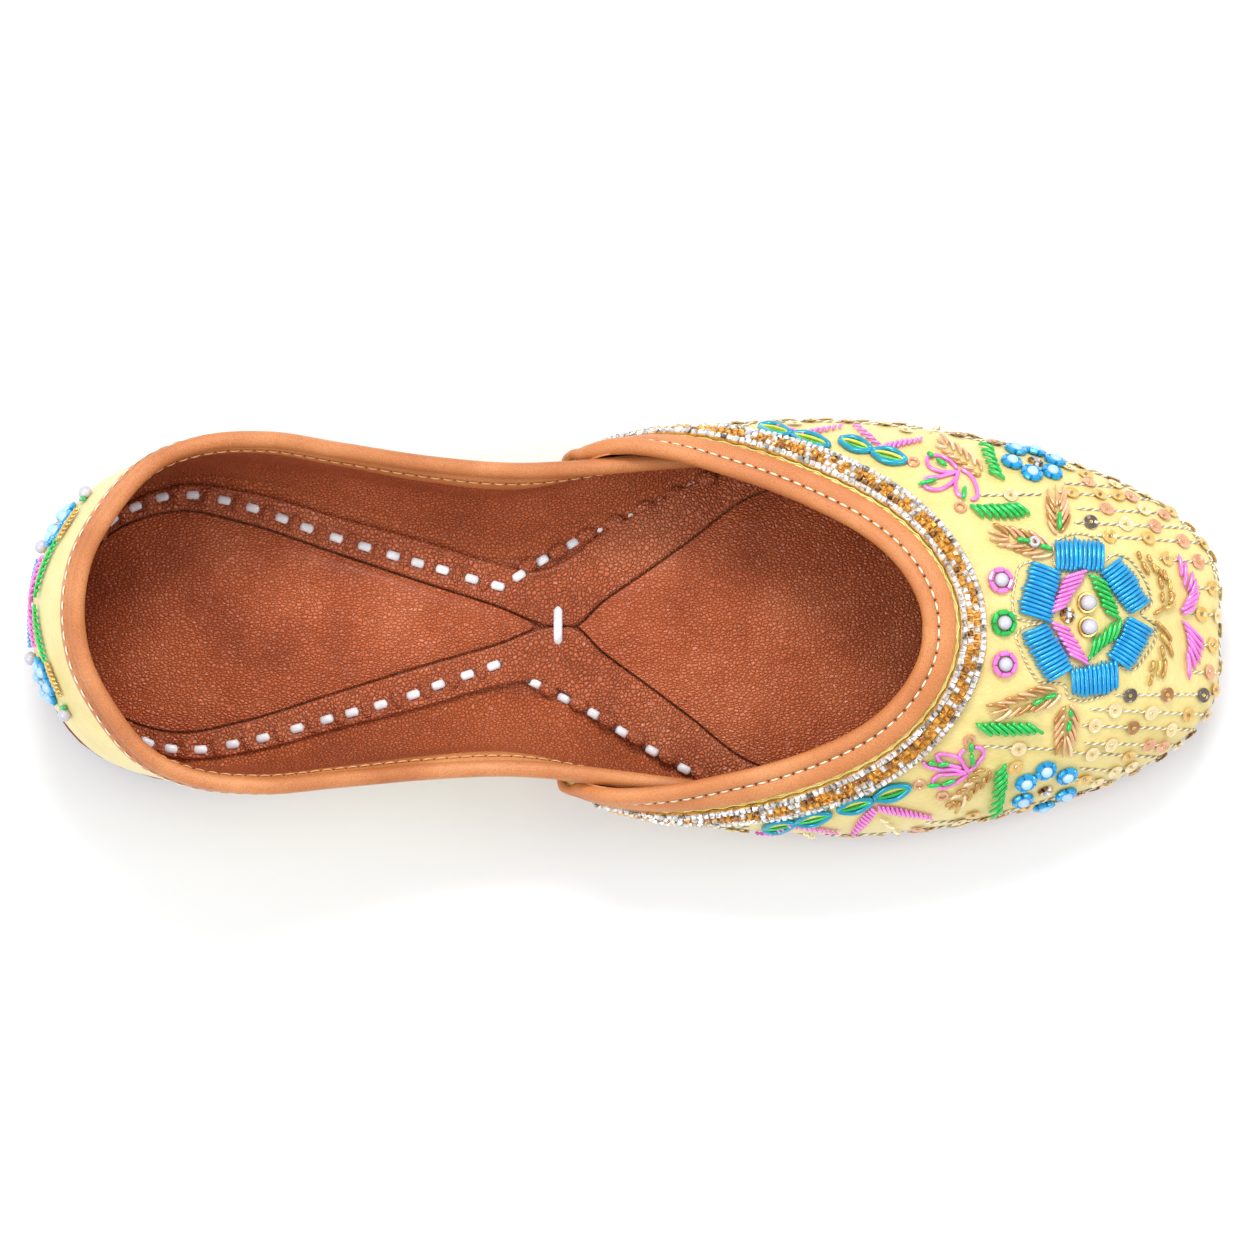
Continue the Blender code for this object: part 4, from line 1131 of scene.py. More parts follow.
def stone_material(name, dark, light, roughness, metallic):
    """Cut stone over foil."""
    material, tree, shader = new_material(name)
    coordinates = object_places(tree)
    cells = textured(tree, coordinates, "ShaderNodeTexVoronoi", Scale=1500.0)
    tone = ramp(tree, cells.outputs["Color"], ((0.18, linear(dark)), (0.62, linear(light))))
    tree.links.new(tone, shader.inputs["Base Color"])
    rough = ramp(tree, cells.outputs["Color"], ((0.2, grey(roughness)), (0.8, grey(roughness * 0.5))))
    tree.links.new(rough, shader.inputs["Roughness"])
    shader.inputs["Metallic"].default_value = metallic
    shader.inputs["Coat Weight"].default_value = 0.8
    shader.inputs["Coat Roughness"].default_value = 0.03
    return material


def make_materials():
    silk("silk_ground", linear((235, 218, 148)), linear((228, 209, 134)), linear((220, 206, 164)))
    leather("lining_leather", linear((172, 82, 42)), linear((190, 94, 50)), linear((202, 106, 62)),
            1300.0, 0.9, 0.42)
    leather("footbed_leather", linear((160, 74, 38)), linear((184, 92, 52)), linear((202, 110, 68)),
            1250.0, 0.9, 0.34, coat=0.15)
    leather("strip_leather", linear((170, 80, 42)), linear((196, 100, 58)), linear((214, 122, 80)),
            1180.0, 1.0, 0.30, coat=0.22)
    leather("pad_leather", linear((166, 76, 36)), linear((192, 94, 50)), linear((210, 114, 70)),
            1350.0, 0.8, 0.32, (0.80, 1.20, 1.0), 0.14)
    leather("binding_tan", linear((202, 120, 64)), linear((214, 134, 76)), linear((226, 150, 92)),
            2400.0, 0.22, 0.44)
    leather("binding_collar", linear((190, 110, 56)), linear((208, 130, 74)), linear((226, 150, 94)),
            2200.0, 0.26, 0.44)
    leather("raw_edge", linear((150, 100, 70)), linear((176, 128, 94)), linear((196, 150, 116)),
            2000.0, 0.30, 0.70)
    strand_material("thread_cream", (236, 222, 190), (250, 240, 214), 0.5, 0.0)
    strand_material("thread_tan", (218, 168, 104), (240, 202, 144), 0.5, 0.0)
    strand_material("lace_white", (206, 206, 212), (244, 244, 248), 0.42, 0.0)
    # Painted shade: dark marks standing for the shade inside the stitch and lace holes.
    strand_material("thread_dark", (60, 36, 22), (84, 54, 34), 0.7, 0.0)
    strand_material("thread_gold", (212, 176, 84), (244, 216, 132), 0.32, 0.55)
    strand_material("thread_grey", (126, 118, 96), (196, 188, 160), 0.36, 0.5)
    strand_material("thread_yellow", (222, 196, 96), (244, 226, 142), 0.4, 0.2)
    for name, colour in COLOURS.items():
        light = tuple(min(255, part + 26) for part in colour)
        strand_material("strand_" + name, colour, light, 0.26, 0.6 if name in METALS else 0.38)
    pearl_material("pearl_white", (150, 148, 172), (206, 204, 216))
    pearl_material("pearl_blue", (110, 180, 216), (190, 222, 240))
    stone_material("stone_clear", (176, 176, 176), (254, 254, 254), 0.10, 0.45)
    stone_material("stone_silver", (96, 92, 88), (222, 220, 216), 0.14, 0.8)
    stone_material("stone_amber", (150, 88, 16), (246, 180, 60), 0.10, 0.5)
    stone_material("stone_brown", (58, 30, 10), (172, 110, 52), 0.12, 0.5)
    stone_material("band_ground", (176, 120, 44), (222, 170, 82), 0.45, 0.3)
    strand_material("sequin_gold", (222, 172, 84), (238, 196, 112), 0.22, 0.35)
    strand_material("sequin_cream", (228, 204, 152), (242, 224, 180), 0.22, 0.25)
    strand_material("sequin_peach", (216, 152, 118), (232, 176, 142), 0.22, 0.3)
    strand_material("sequin_brown", (160, 108, 62), (188, 136, 86), 0.2, 0.45)
    strand_material("sequin_dark", (84, 74, 66), (128, 114, 100), 0.2, 0.5)
    sole_material("sole_edge")
    heel_material("heel_stack")


def sole_material(name):
    """Leather sole: crimson painted edge, a worn natural underside and a top painted dark brown as the shadow
    in the seam between the insole and the lining.
    """
    material, tree, shader = new_material(name)
    coordinates = object_places(tree)
    geometry = tree.nodes.new("ShaderNodeNewGeometry")
    split = tree.nodes.new("ShaderNodeSeparateXYZ")
    tree.links.new(geometry.outputs["Normal"], split.inputs["Vector"])
    # Painted shade: faces that look up are coloured dark brown, standing for the shadow in the seam between
    # the insole and the lining.
    top_shade_mask = ramp(tree, split.outputs["Z"], ((0.80, grey(0.0)), (0.95, grey(1.0))))
    facing = tree.nodes.new("ShaderNodeMath")
    facing.operation = "MULTIPLY"
    facing.inputs[1].default_value = -1.0
    tree.links.new(split.outputs["Z"], facing.inputs[0])
    under = ramp(tree, facing.outputs[0], ((0.45, grey(0.0)), (0.75, grey(1.0))))
    fibres = add_node(tree, "ShaderNodeTexNoise", Scale=130.0, Detail=6.0, Roughness=0.65)
    stretch = textured(tree, coordinates, "ShaderNodeMapping", Scale=(0.4, 1.6, 3.0))
    tree.links.new(stretch.outputs["Vector"], fibres.inputs["Vector"])
    edge = ramp(tree, fibres.outputs["Fac"], ((0.3, linear((104, 12, 20))), (0.7, linear((150, 26, 34)))))
    base = ramp(tree, fibres.outputs["Fac"], ((0.3, linear((150, 104, 64))), (0.7, linear((196, 150, 104)))))
    outside = mixed(tree, edge, base, under)
    tree.links.new(mixed(tree, outside, linear((120, 46, 18)), top_shade_mask), shader.inputs["Base Color"])
    rough = ramp(tree, fibres.outputs["Fac"], ((0.3, grey(0.62)), (0.7, grey(0.46))))
    tree.links.new(rough, shader.inputs["Roughness"])
    bump(tree, shader, fibres.outputs["Fac"], 0.4, 0.0004)
    return material


def heel_material(name):
    """Stacked leather lifts."""
    material, tree, shader = new_material(name)
    coordinates = object_places(tree)
    layers = textured(tree, coordinates, "ShaderNodeTexWave", Scale=62.0, Distortion=1.5, Detail=2.0)
    layers.bands_direction = "Z"
    fibres = textured(tree, coordinates, "ShaderNodeTexNoise", Scale=240.0, Detail=5.0)
    tone = ramp(tree, layers.outputs["Fac"], ((0.1, linear((74, 42, 24))), (0.6, linear((124, 78, 46)))))
    worn = ramp(tree, fibres.outputs["Fac"], ((0.3, grey(0.6)), (0.7, grey(1.0))))
    tree.links.new(mixed(tree, tone, worn, 0.6, "MULTIPLY"), shader.inputs["Base Color"])
    rough = ramp(tree, fibres.outputs["Fac"], ((0.3, grey(0.66)), (0.7, grey(0.48))))
    tree.links.new(rough, shader.inputs["Roughness"])
    bump(tree, shader, layers.outputs["Fac"], 0.5, 0.0003)
    return material


# Camera, lights and floor

def camera_axes():
    elevation = math.radians(CAMERA_ELEVATION)
    turn = math.radians(CAMERA_TURN)
    back = Vector((0.0, -math.cos(elevation), math.sin(elevation)))
    right = Vector((1.0, 0.0, 0.0))
    up = back.cross(right)
    turned_right = right * math.cos(turn) + up * math.sin(turn)
    turned_up = up * math.cos(turn) - right * math.sin(turn)
    return back, turned_right, turned_up


def make_camera():
    back, right, up = camera_axes()
    data = bpy.data.cameras.new("picture_camera")
    data.sensor_width = SENSOR
    data.lens = LENS_PIXELS / PICTURE * SENSOR
    data.clip_start = 0.05
    data.clip_end = 20.0
    camera = bpy.data.objects.new("picture_camera", data)
    turn = Matrix((right, up, back)).transposed().to_4x4()
    camera.matrix_world = Matrix.Translation(Vector((0.0, 0.0, AIM_HEIGHT)) + back * CAMERA_DISTANCE) @ turn
    bpy.context.scene.collection.objects.link(camera)
    bpy.context.scene.camera = camera


def sight(x, y):
    """Ray from the camera through a place in the picture."""
    back, right, up = camera_axes()
    eye = Vector((0.0, 0.0, AIM_HEIGHT)) + back * CAMERA_DISTANCE
    half = PICTURE / 2
    ray = right * (x - half) + up * (half - (y - PAIR_OFFSET)) - back * LENS_PIXELS
    ray.normalize()
    return eye, ray


def area_light(name, place, aim, size, power):
    data = bpy.data.lights.new(name, "AREA")
    data.shape = "RECTANGLE"
    data.size = size[0]
    data.size_y = size[1]
    data.energy = power
    light = bpy.data.objects.new(name, data)
    light.location = place
    light.rotation_euler = (Vector(aim) - Vector(place)).to_track_quat("-Z", "Y").to_euler()
    bpy.context.scene.collection.objects.link(light)


def make_stage():
    mesh = bpy.data.meshes.new("floor")
    edge = 6.0
    mesh.from_pydata([(-edge, -edge, 0.0), (edge, -edge, 0.0), (edge, edge, 0.0), (-edge, edge, 0.0)], [],
                     [(0, 1, 2, 3)])
    material, tree, shader = new_material("floor_paper")
    shader.inputs["Base Color"].default_value = (0.86, 0.88, 0.91, 1.0)
    shader.inputs["Roughness"].default_value = 0.9
    shader.inputs["Specular IOR Level"].default_value = 0.1
    mesh.materials.append(material)
    floor = bpy.data.objects.new("floor", mesh)
    bpy.context.scene.collection.objects.link(floor)
    world = bpy.data.worlds.new("studio")
    world.use_nodes = True
    world.node_tree.nodes["Background"].inputs["Color"].default_value = (1.0, 1.0, 1.0, 1.0)
    world.node_tree.nodes["Background"].inputs["Strength"].default_value = 0.88
    bpy.context.scene.world = world
    area_light("key_light", (0.02, 0.72, 0.95), (0.02, 0.0, 0.02), (0.50, 0.30), 7.6)
    area_light("fill_light", (-0.75, -0.35, 0.90), (0.0, 0.0, 0.02), (0.5, 0.5), 4.0)
    area_light("toe_light", (0.85, 0.10, 0.75), (0.05, 0.0, 0.02), (0.4, 0.4), 2.0)
    bpy.context.scene.view_settings.view_transform = "Standard"
    bpy.context.scene.view_settings.look = "None"


# The upper

def columns_of(sheet, per_station):
    values = []
    for low, high in zip(sheet.knots[:-1], sheet.knots[1:]):
        values.extend(np.linspace(low, high, per_station, endpoint=False))
    values.append(sheet.knots[-1])
    return np.array(values)


def upper_sheet(name, sheet):
    """Wall of silk outside and leather inside."""
    columns = columns_of(sheet, COLUMNS)
    rows = np.linspace(0, 1, SHEET_ROWS)
    u, v = np.meshgrid(columns, rows, indexing="ij")
    start = sheet.rear_start(v)
    u = start + (1 - 2 * start) * u
    u = u.ravel()
    v = v.ravel()
    outer = sheet.point(u, v)
    inner = sheet.offset(u, v, -sheet.wall_at(u, v))
    shape = (len(columns), SHEET_ROWS, 3)
    outer = outer.reshape(shape)
    inner = inner.reshape(shape)
    inner[:, 0, 2] = outer[:, 0, 2]
    section = np.concatenate([outer, inner[:, ::-1]], axis=1)
    loop = SHEET_ROWS * 2
    faces = grid_faces(len(columns), loop)
    slots = [0 if k % loop < SHEET_ROWS - 1 else 1 for k in range(len(faces))]
    for base in (0, (len(columns) - 1) * loop):
        for j in range(SHEET_ROWS - 1):
            faces.append((base + j, base + j + 1, base + loop - 2 - j, base + loop - 1 - j))
            slots.append(0)
    sheet_piece = solid(name, section, faces, ("silk_ground", "lining_leather"), SHEET_SHARP, slots)
    mesh = sheet_piece.data
    heights = (v * sheet.height_along(u)).reshape(len(columns), SHEET_ROWS)
    runs = (u * sheet.run).reshape(len(columns), SHEET_ROWS)
    flat = np.stack([np.concatenate([part, part[:, ::-1]], 1) for part in (runs, heights)], 2)
    flat = flat.reshape(-1, 2) * 1000
    layer = mesh.uv_layers.new(name="lengths")
    corners = np.zeros(len(mesh.loops), int)
    mesh.loops.foreach_get("vertex_index", corners)
    layer.data.foreach_set("uv", flat[corners].ravel())
    return sheet_piece


def edge_path(sheet):
    """u, v along the bound edge, with the rear edges of the wings where there are any."""
    along = columns_of(sheet, COLUMNS)
    if not sheet.has_rear:
        return along, along * 0 + 1
    v = np.maximum(np.linspace(0, 1, REAR_STEPS + 1), WING_FOOT_SHARE)
    turn = (v - 1 + WING_CORNER) / WING_CORNER
    v = np.where(turn > 0, 1 - WING_CORNER + WING_CORNER * np.sin(np.clip(turn, 0, 1) * math.pi / 2), v)
    v = np.unique(v)
    start = sheet.rear_start(v)
    top = start[-1] + (1 - 2 * start[-1]) * along
    u = np.concatenate([start[:-1], top, 1 - start[:-1][::-1]])
    v = np.concatenate([v[:-1], top * 0 + 1, v[:-1][::-1]])
    return u, v


def edge_frames(sheet, u, v):
    """The place, the outward normal and the way into the sheet for each place on the edge."""
    places = sheet.point(u, v)
    tangents = unit(np.gradient(places, axis=0))
    normals = sheet.normal(u, v)
    inward = unit(np.cross(normals, tangents))
    if inward[len(u) // 2, 2] > 0:
        inward = -inward
    return places, normals, inward


def cover_lengths(sheet, u, v, covered_from, covered_to):
    share = (sheet.point(u, v)[:, 0] + HALF_LENGTH) / LENGTH
    inside = smooth_step((share - covered_from) / COVER_FADE) * smooth_step((covered_to - share) / COVER_FADE)
    return BINDING_LEG + (BINDING_SHORT_LEG - BINDING_LEG) * inside


def leg_faces(sheet, u, v, inward, legs):
    """u, v at equal steps down a leg of the binding."""
    places = []
    done = 0.0
    for share, _ in LEG_PROFILE:
        u, v = sheet.walk(u, v, inward, legs * (share - done))
        done = share
        places.append((u, v))
    return places


def folded_edge(name, sheet, u, v, outer_legs, inner_legs, kinds, material):
    """Folded strip of leather: a roll over the edge and a leg on each face."""
    places, normals, inward = edge_frames(sheet, u, v)
    edge_wall = sheet.wall_at(u, v)[:, None]
    outside = leg_faces(sheet, u, v, inward, outer_legs)
    inside = leg_faces(sheet, u, v, inward, inner_legs)
    angles = np.linspace(0, math.pi, ROLL_STEPS + 1)
    centre = places - normals * (edge_wall / 2) + inward * (ROLL_RADIUS * ROLL_SINK_SHARE)
    seat = LAP_STEP - 2 * LEG_GAP
    seated_radius = (seat + LEG_GAP + BINDING_LEATHER) / 2
    seated_centre = places + normals * (seated_radius - seat) - inward * (seated_radius * SEATED_SINK_SHARE)
    depth = edge_wall + LEG_GAP
    rows = []
    for k, (at_u, at_v) in enumerate(reversed(outside)):
        thick = LEG_GAP + BINDING_LEATHER * LEG_PROFILE[LEG_STEPS - 1 - k][1]
        rows.append(sheet.offset(at_u, at_v, thick))
    seated = np.array([kind == "seated" for kind in kinds])[:, None]
    tucked = np.array([kind == "tucked" for kind in kinds])[:, None]
    for angle in angles:
        free_arc = centre + normals * (ROLL_RADIUS * math.cos(angle))
        free_arc = free_arc - inward * (ROLL_RADIUS * math.sin(angle))
        seated_arc = seated_centre + normals * (seated_radius * math.cos(angle))
        seated_arc = seated_arc - inward * (seated_radius * math.sin(angle))
        rows.append(np.where(seated, seated_arc, free_arc))
    corner = places - normals * seat
    for k, (at_u, at_v) in enumerate(inside):
        thick = LEG_GAP + BINDING_LEATHER * LEG_PROFILE[k][1]
        free = sheet.offset(at_u, at_v, -sheet.wall_at(at_u, at_v) - thick)
        share = (k + 1) / LEG_STEPS
        tuck = places - normals * (depth + BINDING_LEATHER) + inward * (GAP * (1 - 2 * share))
        if k == 0:
            seat_point = corner - inward * (seated_radius * ROLL_SINK_SHARE)
        else:
            seat_point = corner - inward * (GAP + seated_radius * SEATED_STEP_SHARE * (LEG_STEPS - k))
        rows.append(np.where(seated, seat_point, np.where(tucked, tuck, free)))
    for k, (at_u, at_v) in enumerate(reversed(inside)):
        free = sheet.offset(at_u, at_v, -sheet.wall_at(at_u, at_v) - LEG_GAP)
        share = (k + 1) / (LEG_STEPS + 1)
        tuck = places - normals * (depth + BINDING_LEATHER * (1 - share)) - inward * GAP
        seat_point = corner + normals * (seat * (k + 0.5) / LEG_STEPS) - inward * GAP
        rows.append(np.where(seated, seat_point, np.where(tucked, tuck, free)))
    rows.append(np.where(seated, places - inward * GAP, places - normals * depth - inward * GAP))
    rows.append(places + normals * LEG_GAP - inward * GAP)
    for at_u, at_v in outside:
        rows.append(sheet.offset(at_u, at_v, LEG_GAP))
    section = np.stack(rows, axis=1)
    count = section.shape[1]
    faces = grid_faces(len(u), count)
    roll_middle = LEG_STEPS + ROLL_STEPS // 2
    slot_outside = LEG_STEPS * 3 + ROLL_STEPS + 2
    for base in (0, (len(u) - 1) * count):
        outer_ring = list(range(0, roll_middle + 1)) + list(range(slot_outside, count))
        inner_ring = list(range(roll_middle, slot_outside + 1))
        faces.append(tuple(base + k for k in outer_ring))
        faces.append(tuple(base + k for k in inner_ring))
    return solid(name, section, faces, (material,), FOLD_SHARP)


# The stone band

def place_from_rear(sheet, v, distance):
    """u at a distance from the wing's rear edge, along the rows at v."""
    low = v * 0.0
    high = v * 0.0 + 0.5
    start = sheet.point(low, v)
    for _ in range(22):
        middle = (low + high) / 2
        short = np.linalg.norm(sheet.point(middle, v) - start, axis=1) < distance
        low = np.where(short, middle, low)
        high = np.where(short, high, middle)
    return low


def corner_place(sheet, distance):
    """The place at one distance from the wing's top edge and from its rear edge."""
    u = np.array([0.0])
    v = np.array([1.0])
    for _ in range(6):
        u = place_from_rear(sheet, v, distance)
        v = 1 - distance / sheet.height_along(u)
    return u[0], v[0]


def band_line(distance):
    """u, v of a line at one distance from the throat's edge, turned down the rear of the wings."""
    corner_u, corner_v = corner_place(vamp, distance + TRIM_CORNER_SETBACK)
    rear_v = np.linspace(WING_FOOT_SHARE, corner_v, BAND_REAR_STEPS, endpoint=False)
    rear_u = place_from_rear(vamp, rear_v, distance)
    widest = corner_place(vamp, BINDING_LEG + TRIM_SETBACK + TRIM_WIDTH + TRIM_CORNER_SETBACK)[0]
    start = widest * TRIM_CORNER_ROOM
    along_u = columns_of(vamp, COLUMNS)
    _, _, inward = edge_frames(vamp, along_u, along_u * 0 + 1)
    kept = (along_u > start) & (along_u < 1 - start)
    at_u, at_v = vamp.walk(along_u[kept], along_u[kept] * 0 + 1, inward[kept], distance)
    u = np.concatenate([rear_u, [corner_u], at_u, [1 - corner_u], 1 - rear_u[::-1]])
    v = np.concatenate([rear_v, [corner_v], at_v, [corner_v], rear_v[::-1]])
    return u, v


def line_on(sheet, u, v, lift):
    return Line(sheet.offset(u, v, lift), sheet.normal(u, v))


def square_stone(pile, place, normal, along, width, height, material, tilt):
    """Cut square stone: a girdle, a bevelled crown and a tilted table."""
    side = unit(np.cross(normal, along))
    verts = []
    for share, rise in ((1.0, 0.0), (1.0, 0.45), (0.62, 1.0)):
        for a, b in ((-1, -1), (1, -1), (1, 1), (-1, 1)):
            lean = (a * tilt[0] + b * tilt[1]) * height if rise == 1.0 else 0.0
            corner = along * (a * share * width / 2) + side * (b * share * width / 2)
            verts.append(place + corner + normal * (rise * height + lean))
    faces = [(3, 2, 1, 0), (8, 9, 10, 11)]
    for base in (0, 4):
        for k in range(4):
            n = (k + 1) % 4
            faces.append((base + k, base + n, base + n + 4, base + k + 4))
    pile.add(verts, faces, material)


def make_band():
    """Plate under the stones, four rows of stones, the wavy cord before it and the cord behind it."""
    first = BINDING_LEG + TRIM_SETBACK
    rows = []
    for distance, lift in ((first, TRIM_LIFT), (first + TRIM_WIDTH / 2, TRIM_LIFT),
                           (first + TRIM_WIDTH, TRIM_LIFT), (first + TRIM_WIDTH, TRIM_LIFT + TRIM_PLATE),
                           (first + TRIM_WIDTH / 2, TRIM_LIFT + TRIM_PLATE),
                           (first, TRIM_LIFT + TRIM_PLATE)):
        u, v = band_line(distance)
        rows.append(vamp.offset(u, v, lift))
    section = np.stack(rows, axis=1)
    count = section.shape[1]
    faces = grid_faces(len(section), count) + end_faces(len(section), count)
    plate = solid("band_plate", section, faces, ("band_ground",), FOLD_SHARP)
    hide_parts("throat_trim")
    stones = Pile()
    chance = random.Random(7)
    top = TRIM_LIFT + TRIM_PLATE - STONE_SINK
    for across, width, pitch, names, phase in STONE_ROWS:
        u, v = band_line(first + across)
        line = line_on(vamp, u, v, top)
        count = int(line.length / pitch)
        at = (np.arange(count) + phase * 0.5 + 0.25) * line.length / count
        at = np.minimum(at, line.length - width / 2)
        places, normals = line.at(at)
        before, _ = line.at(np.maximum(at - STONE_REACH, 0))
        after, _ = line.at(np.minimum(at + STONE_REACH, line.length))
        tangents = unit(after - before)
        for place, normal, tangent in zip(places, normals, tangents):
            tangent = unit(tangent - normal * np.dot(tangent, normal))
            turn = chance.uniform(-STONE_TURN, STONE_TURN)
            side = np.cross(normal, tangent)
            along = tangent * math.cos(turn) + side * math.sin(turn)
            tilt = (chance.uniform(-STONE_TILT, STONE_TILT), chance.uniform(-STONE_TILT, STONE_TILT))
            square_stone(stones, place, normal, along, width * chance.uniform(0.88, 1.0), STONE_HEIGHT,
                         "stone_" + chance.choice(names), tilt)
    stones.build("band_stones", 0.2)
    cords = Pile()
    u, v = band_line(BINDING_LEG + TRIM_SETBACK * 0.5)
    line = line_on(vamp, u, v, 0.0)
    count = int(line.length / CORD_STEP)
    at = np.linspace(CORD_END, line.length - CORD_END, count)
    places, normals = line.at(at)
    side = unit(np.cross(normals, unit(np.gradient(places, axis=0))))
    wave = np.abs((at / CORD_PITCH) % 2 - 1) * 2 - 1
    centres = places + normals * CORD_LIFT + side * (wave * CORD_SWING)[:, None]
    verts, faces = tube(centres, normals, round_ends(count, CORD_RADIUS, 0.02), 6)
    cords.add(verts, faces, "thread_yellow")
    centres = places + normals * CORD_BED_LIFT
    verts, faces = tube(centres, normals, round_ends(count, CORD_BED_RADIUS, 0.02), 6, 0.6)
    cords.add(verts, faces, "thread_yellow")
    u, v = band_line(first + TRIM_WIDTH + REAR_CORD_GAP)
    twisted(cords, line_on(vamp, u, v, 0.0), *REAR_CORD, ("thread_grey", "thread_gold"), 0.0005)
    cords.build("band_cords")


# Stitches on the folded edges

# Dark marks in the stitch holes between the stitches: painted shade.
def stitch_holes(pile, line, pitch, offset, radius, lift, margin):
    at = margin + offset
    while at < line.length - margin:
        places, normals = line.at(at)
        before, _ = line.at(at - HOLE_REACH)
        after, _ = line.at(at + HOLE_REACH)
        centres = np.concatenate([before, places, after]) + normals * lift
        verts, faces = tube(centres, normals, np.array((0.4, 1.0, 0.4)) * radius, 6, 0.5)
        pile.add(verts, faces, "thread_dark")
        at += pitch


def make_edge_stitches():
    stitches = Pile()
    top = throat_v > 0.9999
    _, _, inward = edge_frames(vamp, throat_u, throat_v)
    at_u, at_v = vamp.walk(throat_u, throat_v, inward, BINDING_LEG * GROOVE)
    first = int(np.argmax(top)) - 6
    last = len(top) - first
    line = line_on(vamp, at_u[first:last], at_v[first:last], 0.0)
    lift = LEG_GAP + BINDING_LEATHER * GROOVE_THICKNESS_SHARE - THREAD_SINK
    dashes(stitches, line, *THROAT_STITCH, lift, "thread_cream", THROAT_STITCH_END)
    stitch_holes(stitches, line, *THROAT_HOLE, lift, THROAT_STITCH_END)
    _, _, inward = edge_frames(quarter, collar_u, collar_v)
    at_u, at_v = quarter.walk(collar_u, collar_v, inward, collar_full * INNER_STITCH_SHARE)
    depth = quarter.wall_at(at_u, at_v) + LEG_GAP + BINDING_LEATHER
    normals = quarter.normal(at_u, at_v)
    inner = Line(quarter.point(at_u, at_v) - normals * depth[:, None], -normals)
    dashes(stitches, inner, *INNER_STITCH, THREAD_LIFT, "thread_tan", INNER_STITCH_END)
    stitch_holes(stitches, inner, *INNER_HOLE, HOLE_LIFT, INNER_STITCH_END)
    at_u, at_v = quarter.walk(collar_u, collar_v, inward, collar_cover * OUTER_STITCH_SHARE)
    outside = (quarter.point(at_u, at_v)[:, 0] + HALF_LENGTH) / LENGTH < COLLAR_COVERED_FROM
    outer = line_on(quarter, at_u[outside], at_v[outside], LEG_GAP + BINDING_LEATHER)
    dashes(stitches, outer, *OUTER_STITCH, THREAD_LIFT, "thread_cream", OUTER_STITCH_END)
    stitches.build("edge_stitches")


# Footbed

def half_outline(rows, columns, per_station):
    """Smooth left half of an outline from its table."""
    places = np.array([(from_heel(row[columns]), row[columns + 1] * HALF_BALL) for row in rows])
    knots = lengths_along(places)
    first = places[1] * OTHER_SIDE
    wide = np.concatenate([[first], places])
    wide_knots = np.concatenate([[-knots[1]], knots])
    at = []
    for low, high in zip(knots[:-1], knots[1:]):
        at.extend(np.linspace(low, high, per_station, endpoint=False))
    at.append(knots[-1])
    return smooth_curve(wide_knots, wide, np.array(at))


def strip_sides(per_station):
    near = half_outline(STRIP, 1, per_station)
    far = half_outline(STRIP, 3, per_station)
    near[1:, 1] = np.maximum(near[1:, 1], GAP / 2)
    return near, far


def inset(points, distance):
    """Move a left half outline inwards."""
    first = points[1] * OTHER_SIDE
    last = points[-2] * OTHER_SIDE
    wide = np.concatenate([[first], points, [last]])
    tangents = unit(wide[2:] - wide[:-2])
    moved = points + np.stack([tangents[:, 1], -tangents[:, 0]], 1) * distance
    moved[0, 1] = 0.0
    moved[-1, 1] = 0.0
    return moved


def pad_outlines():
    near, _ = strip_sides(PAD_COLUMNS)
    names = [row[0] for row in STRIP]
    behind = names.index("crossing") * PAD_COLUMNS
    ahead = names.index("front of crossing") * PAD_COLUMNS
    inside = inset(near[:behind + 1], PAD_CLEARANCE)
    kept = np.concatenate([inside[:1], inside[1:-1][inside[1:-1, 1] > PAD_CLEARANCE]])
    heel = np.concatenate([kept, [[kept[-1, 0] + kept[-1, 1], 0.0]]])
    inside = inset(near[ahead:], PAD_CLEARANCE)[:-1]
    kept = inside[1:][inside[1:, 1] > PAD_CLEARANCE]
    front = half_outline(FOREFOOT_FRONT, 1, PAD_COLUMNS)
    forefoot = np.concatenate([[[kept[0, 0] - kept[0, 1], 0.0]], kept, front])
    return heel, forefoot


def make_cushion(name, node_name, half):
    """Thin leather pad over foam: rounded edge, gentle crown and slight hollows."""
    whole = np.concatenate([half, (half[1:-1] * OTHER_SIDE)[::-1]])
    middle = np.array(((half[0, 0] + half[-1, 0]) / 2, 0.0))
    levels = []
    shape = ((1.0, -PAD_EDGE), (1.0, -0.10 * PAD_EDGE), (0.997, 0.0), (0.985, 0.06 * PAD_CROWN),
             (0.96, 0.20 * PAD_CROWN), (0.92, 0.42 * PAD_CROWN), (0.86, 0.60 * PAD_CROWN),
             (0.76, 0.78 * PAD_CROWN), (0.64, 0.90 * PAD_CROWN), (0.48, 0.96 * PAD_CROWN),
             (0.30, 0.99 * PAD_CROWN), (0.12, 1.0 * PAD_CROWN))
    for scale, rise in shape:
        place = middle + (whole - middle) * scale
        height = insole_top(place[:, 0]) + GAP + PAD_EDGE + rise
        if scale < 0.97:
            ripple = np.sin(place[:, 0] * 410 + place[:, 1] * 130) * np.sin(place[:, 1] * 300 + 0.7)
            height = height + ripple * 0.00010
        levels.append(np.column_stack([place, height]))
    ring = len(whole)
    verts = np.concatenate(levels)
    faces = []
    for k in range(len(levels) - 1):
        for j in range(ring):
            n = (j + 1) % ring
            faces.append((k * ring + j, k * ring + n, (k + 1) * ring + n, (k + 1) * ring + j))
    faces.append(tuple(reversed(range(ring))))
    faces.append(tuple((len(levels) - 1) * ring + j for j in range(ring)))
    cushion = solid(name, verts, faces, ("pad_leather",), SOFT_SHARP)
    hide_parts(node_name)
    return cushion


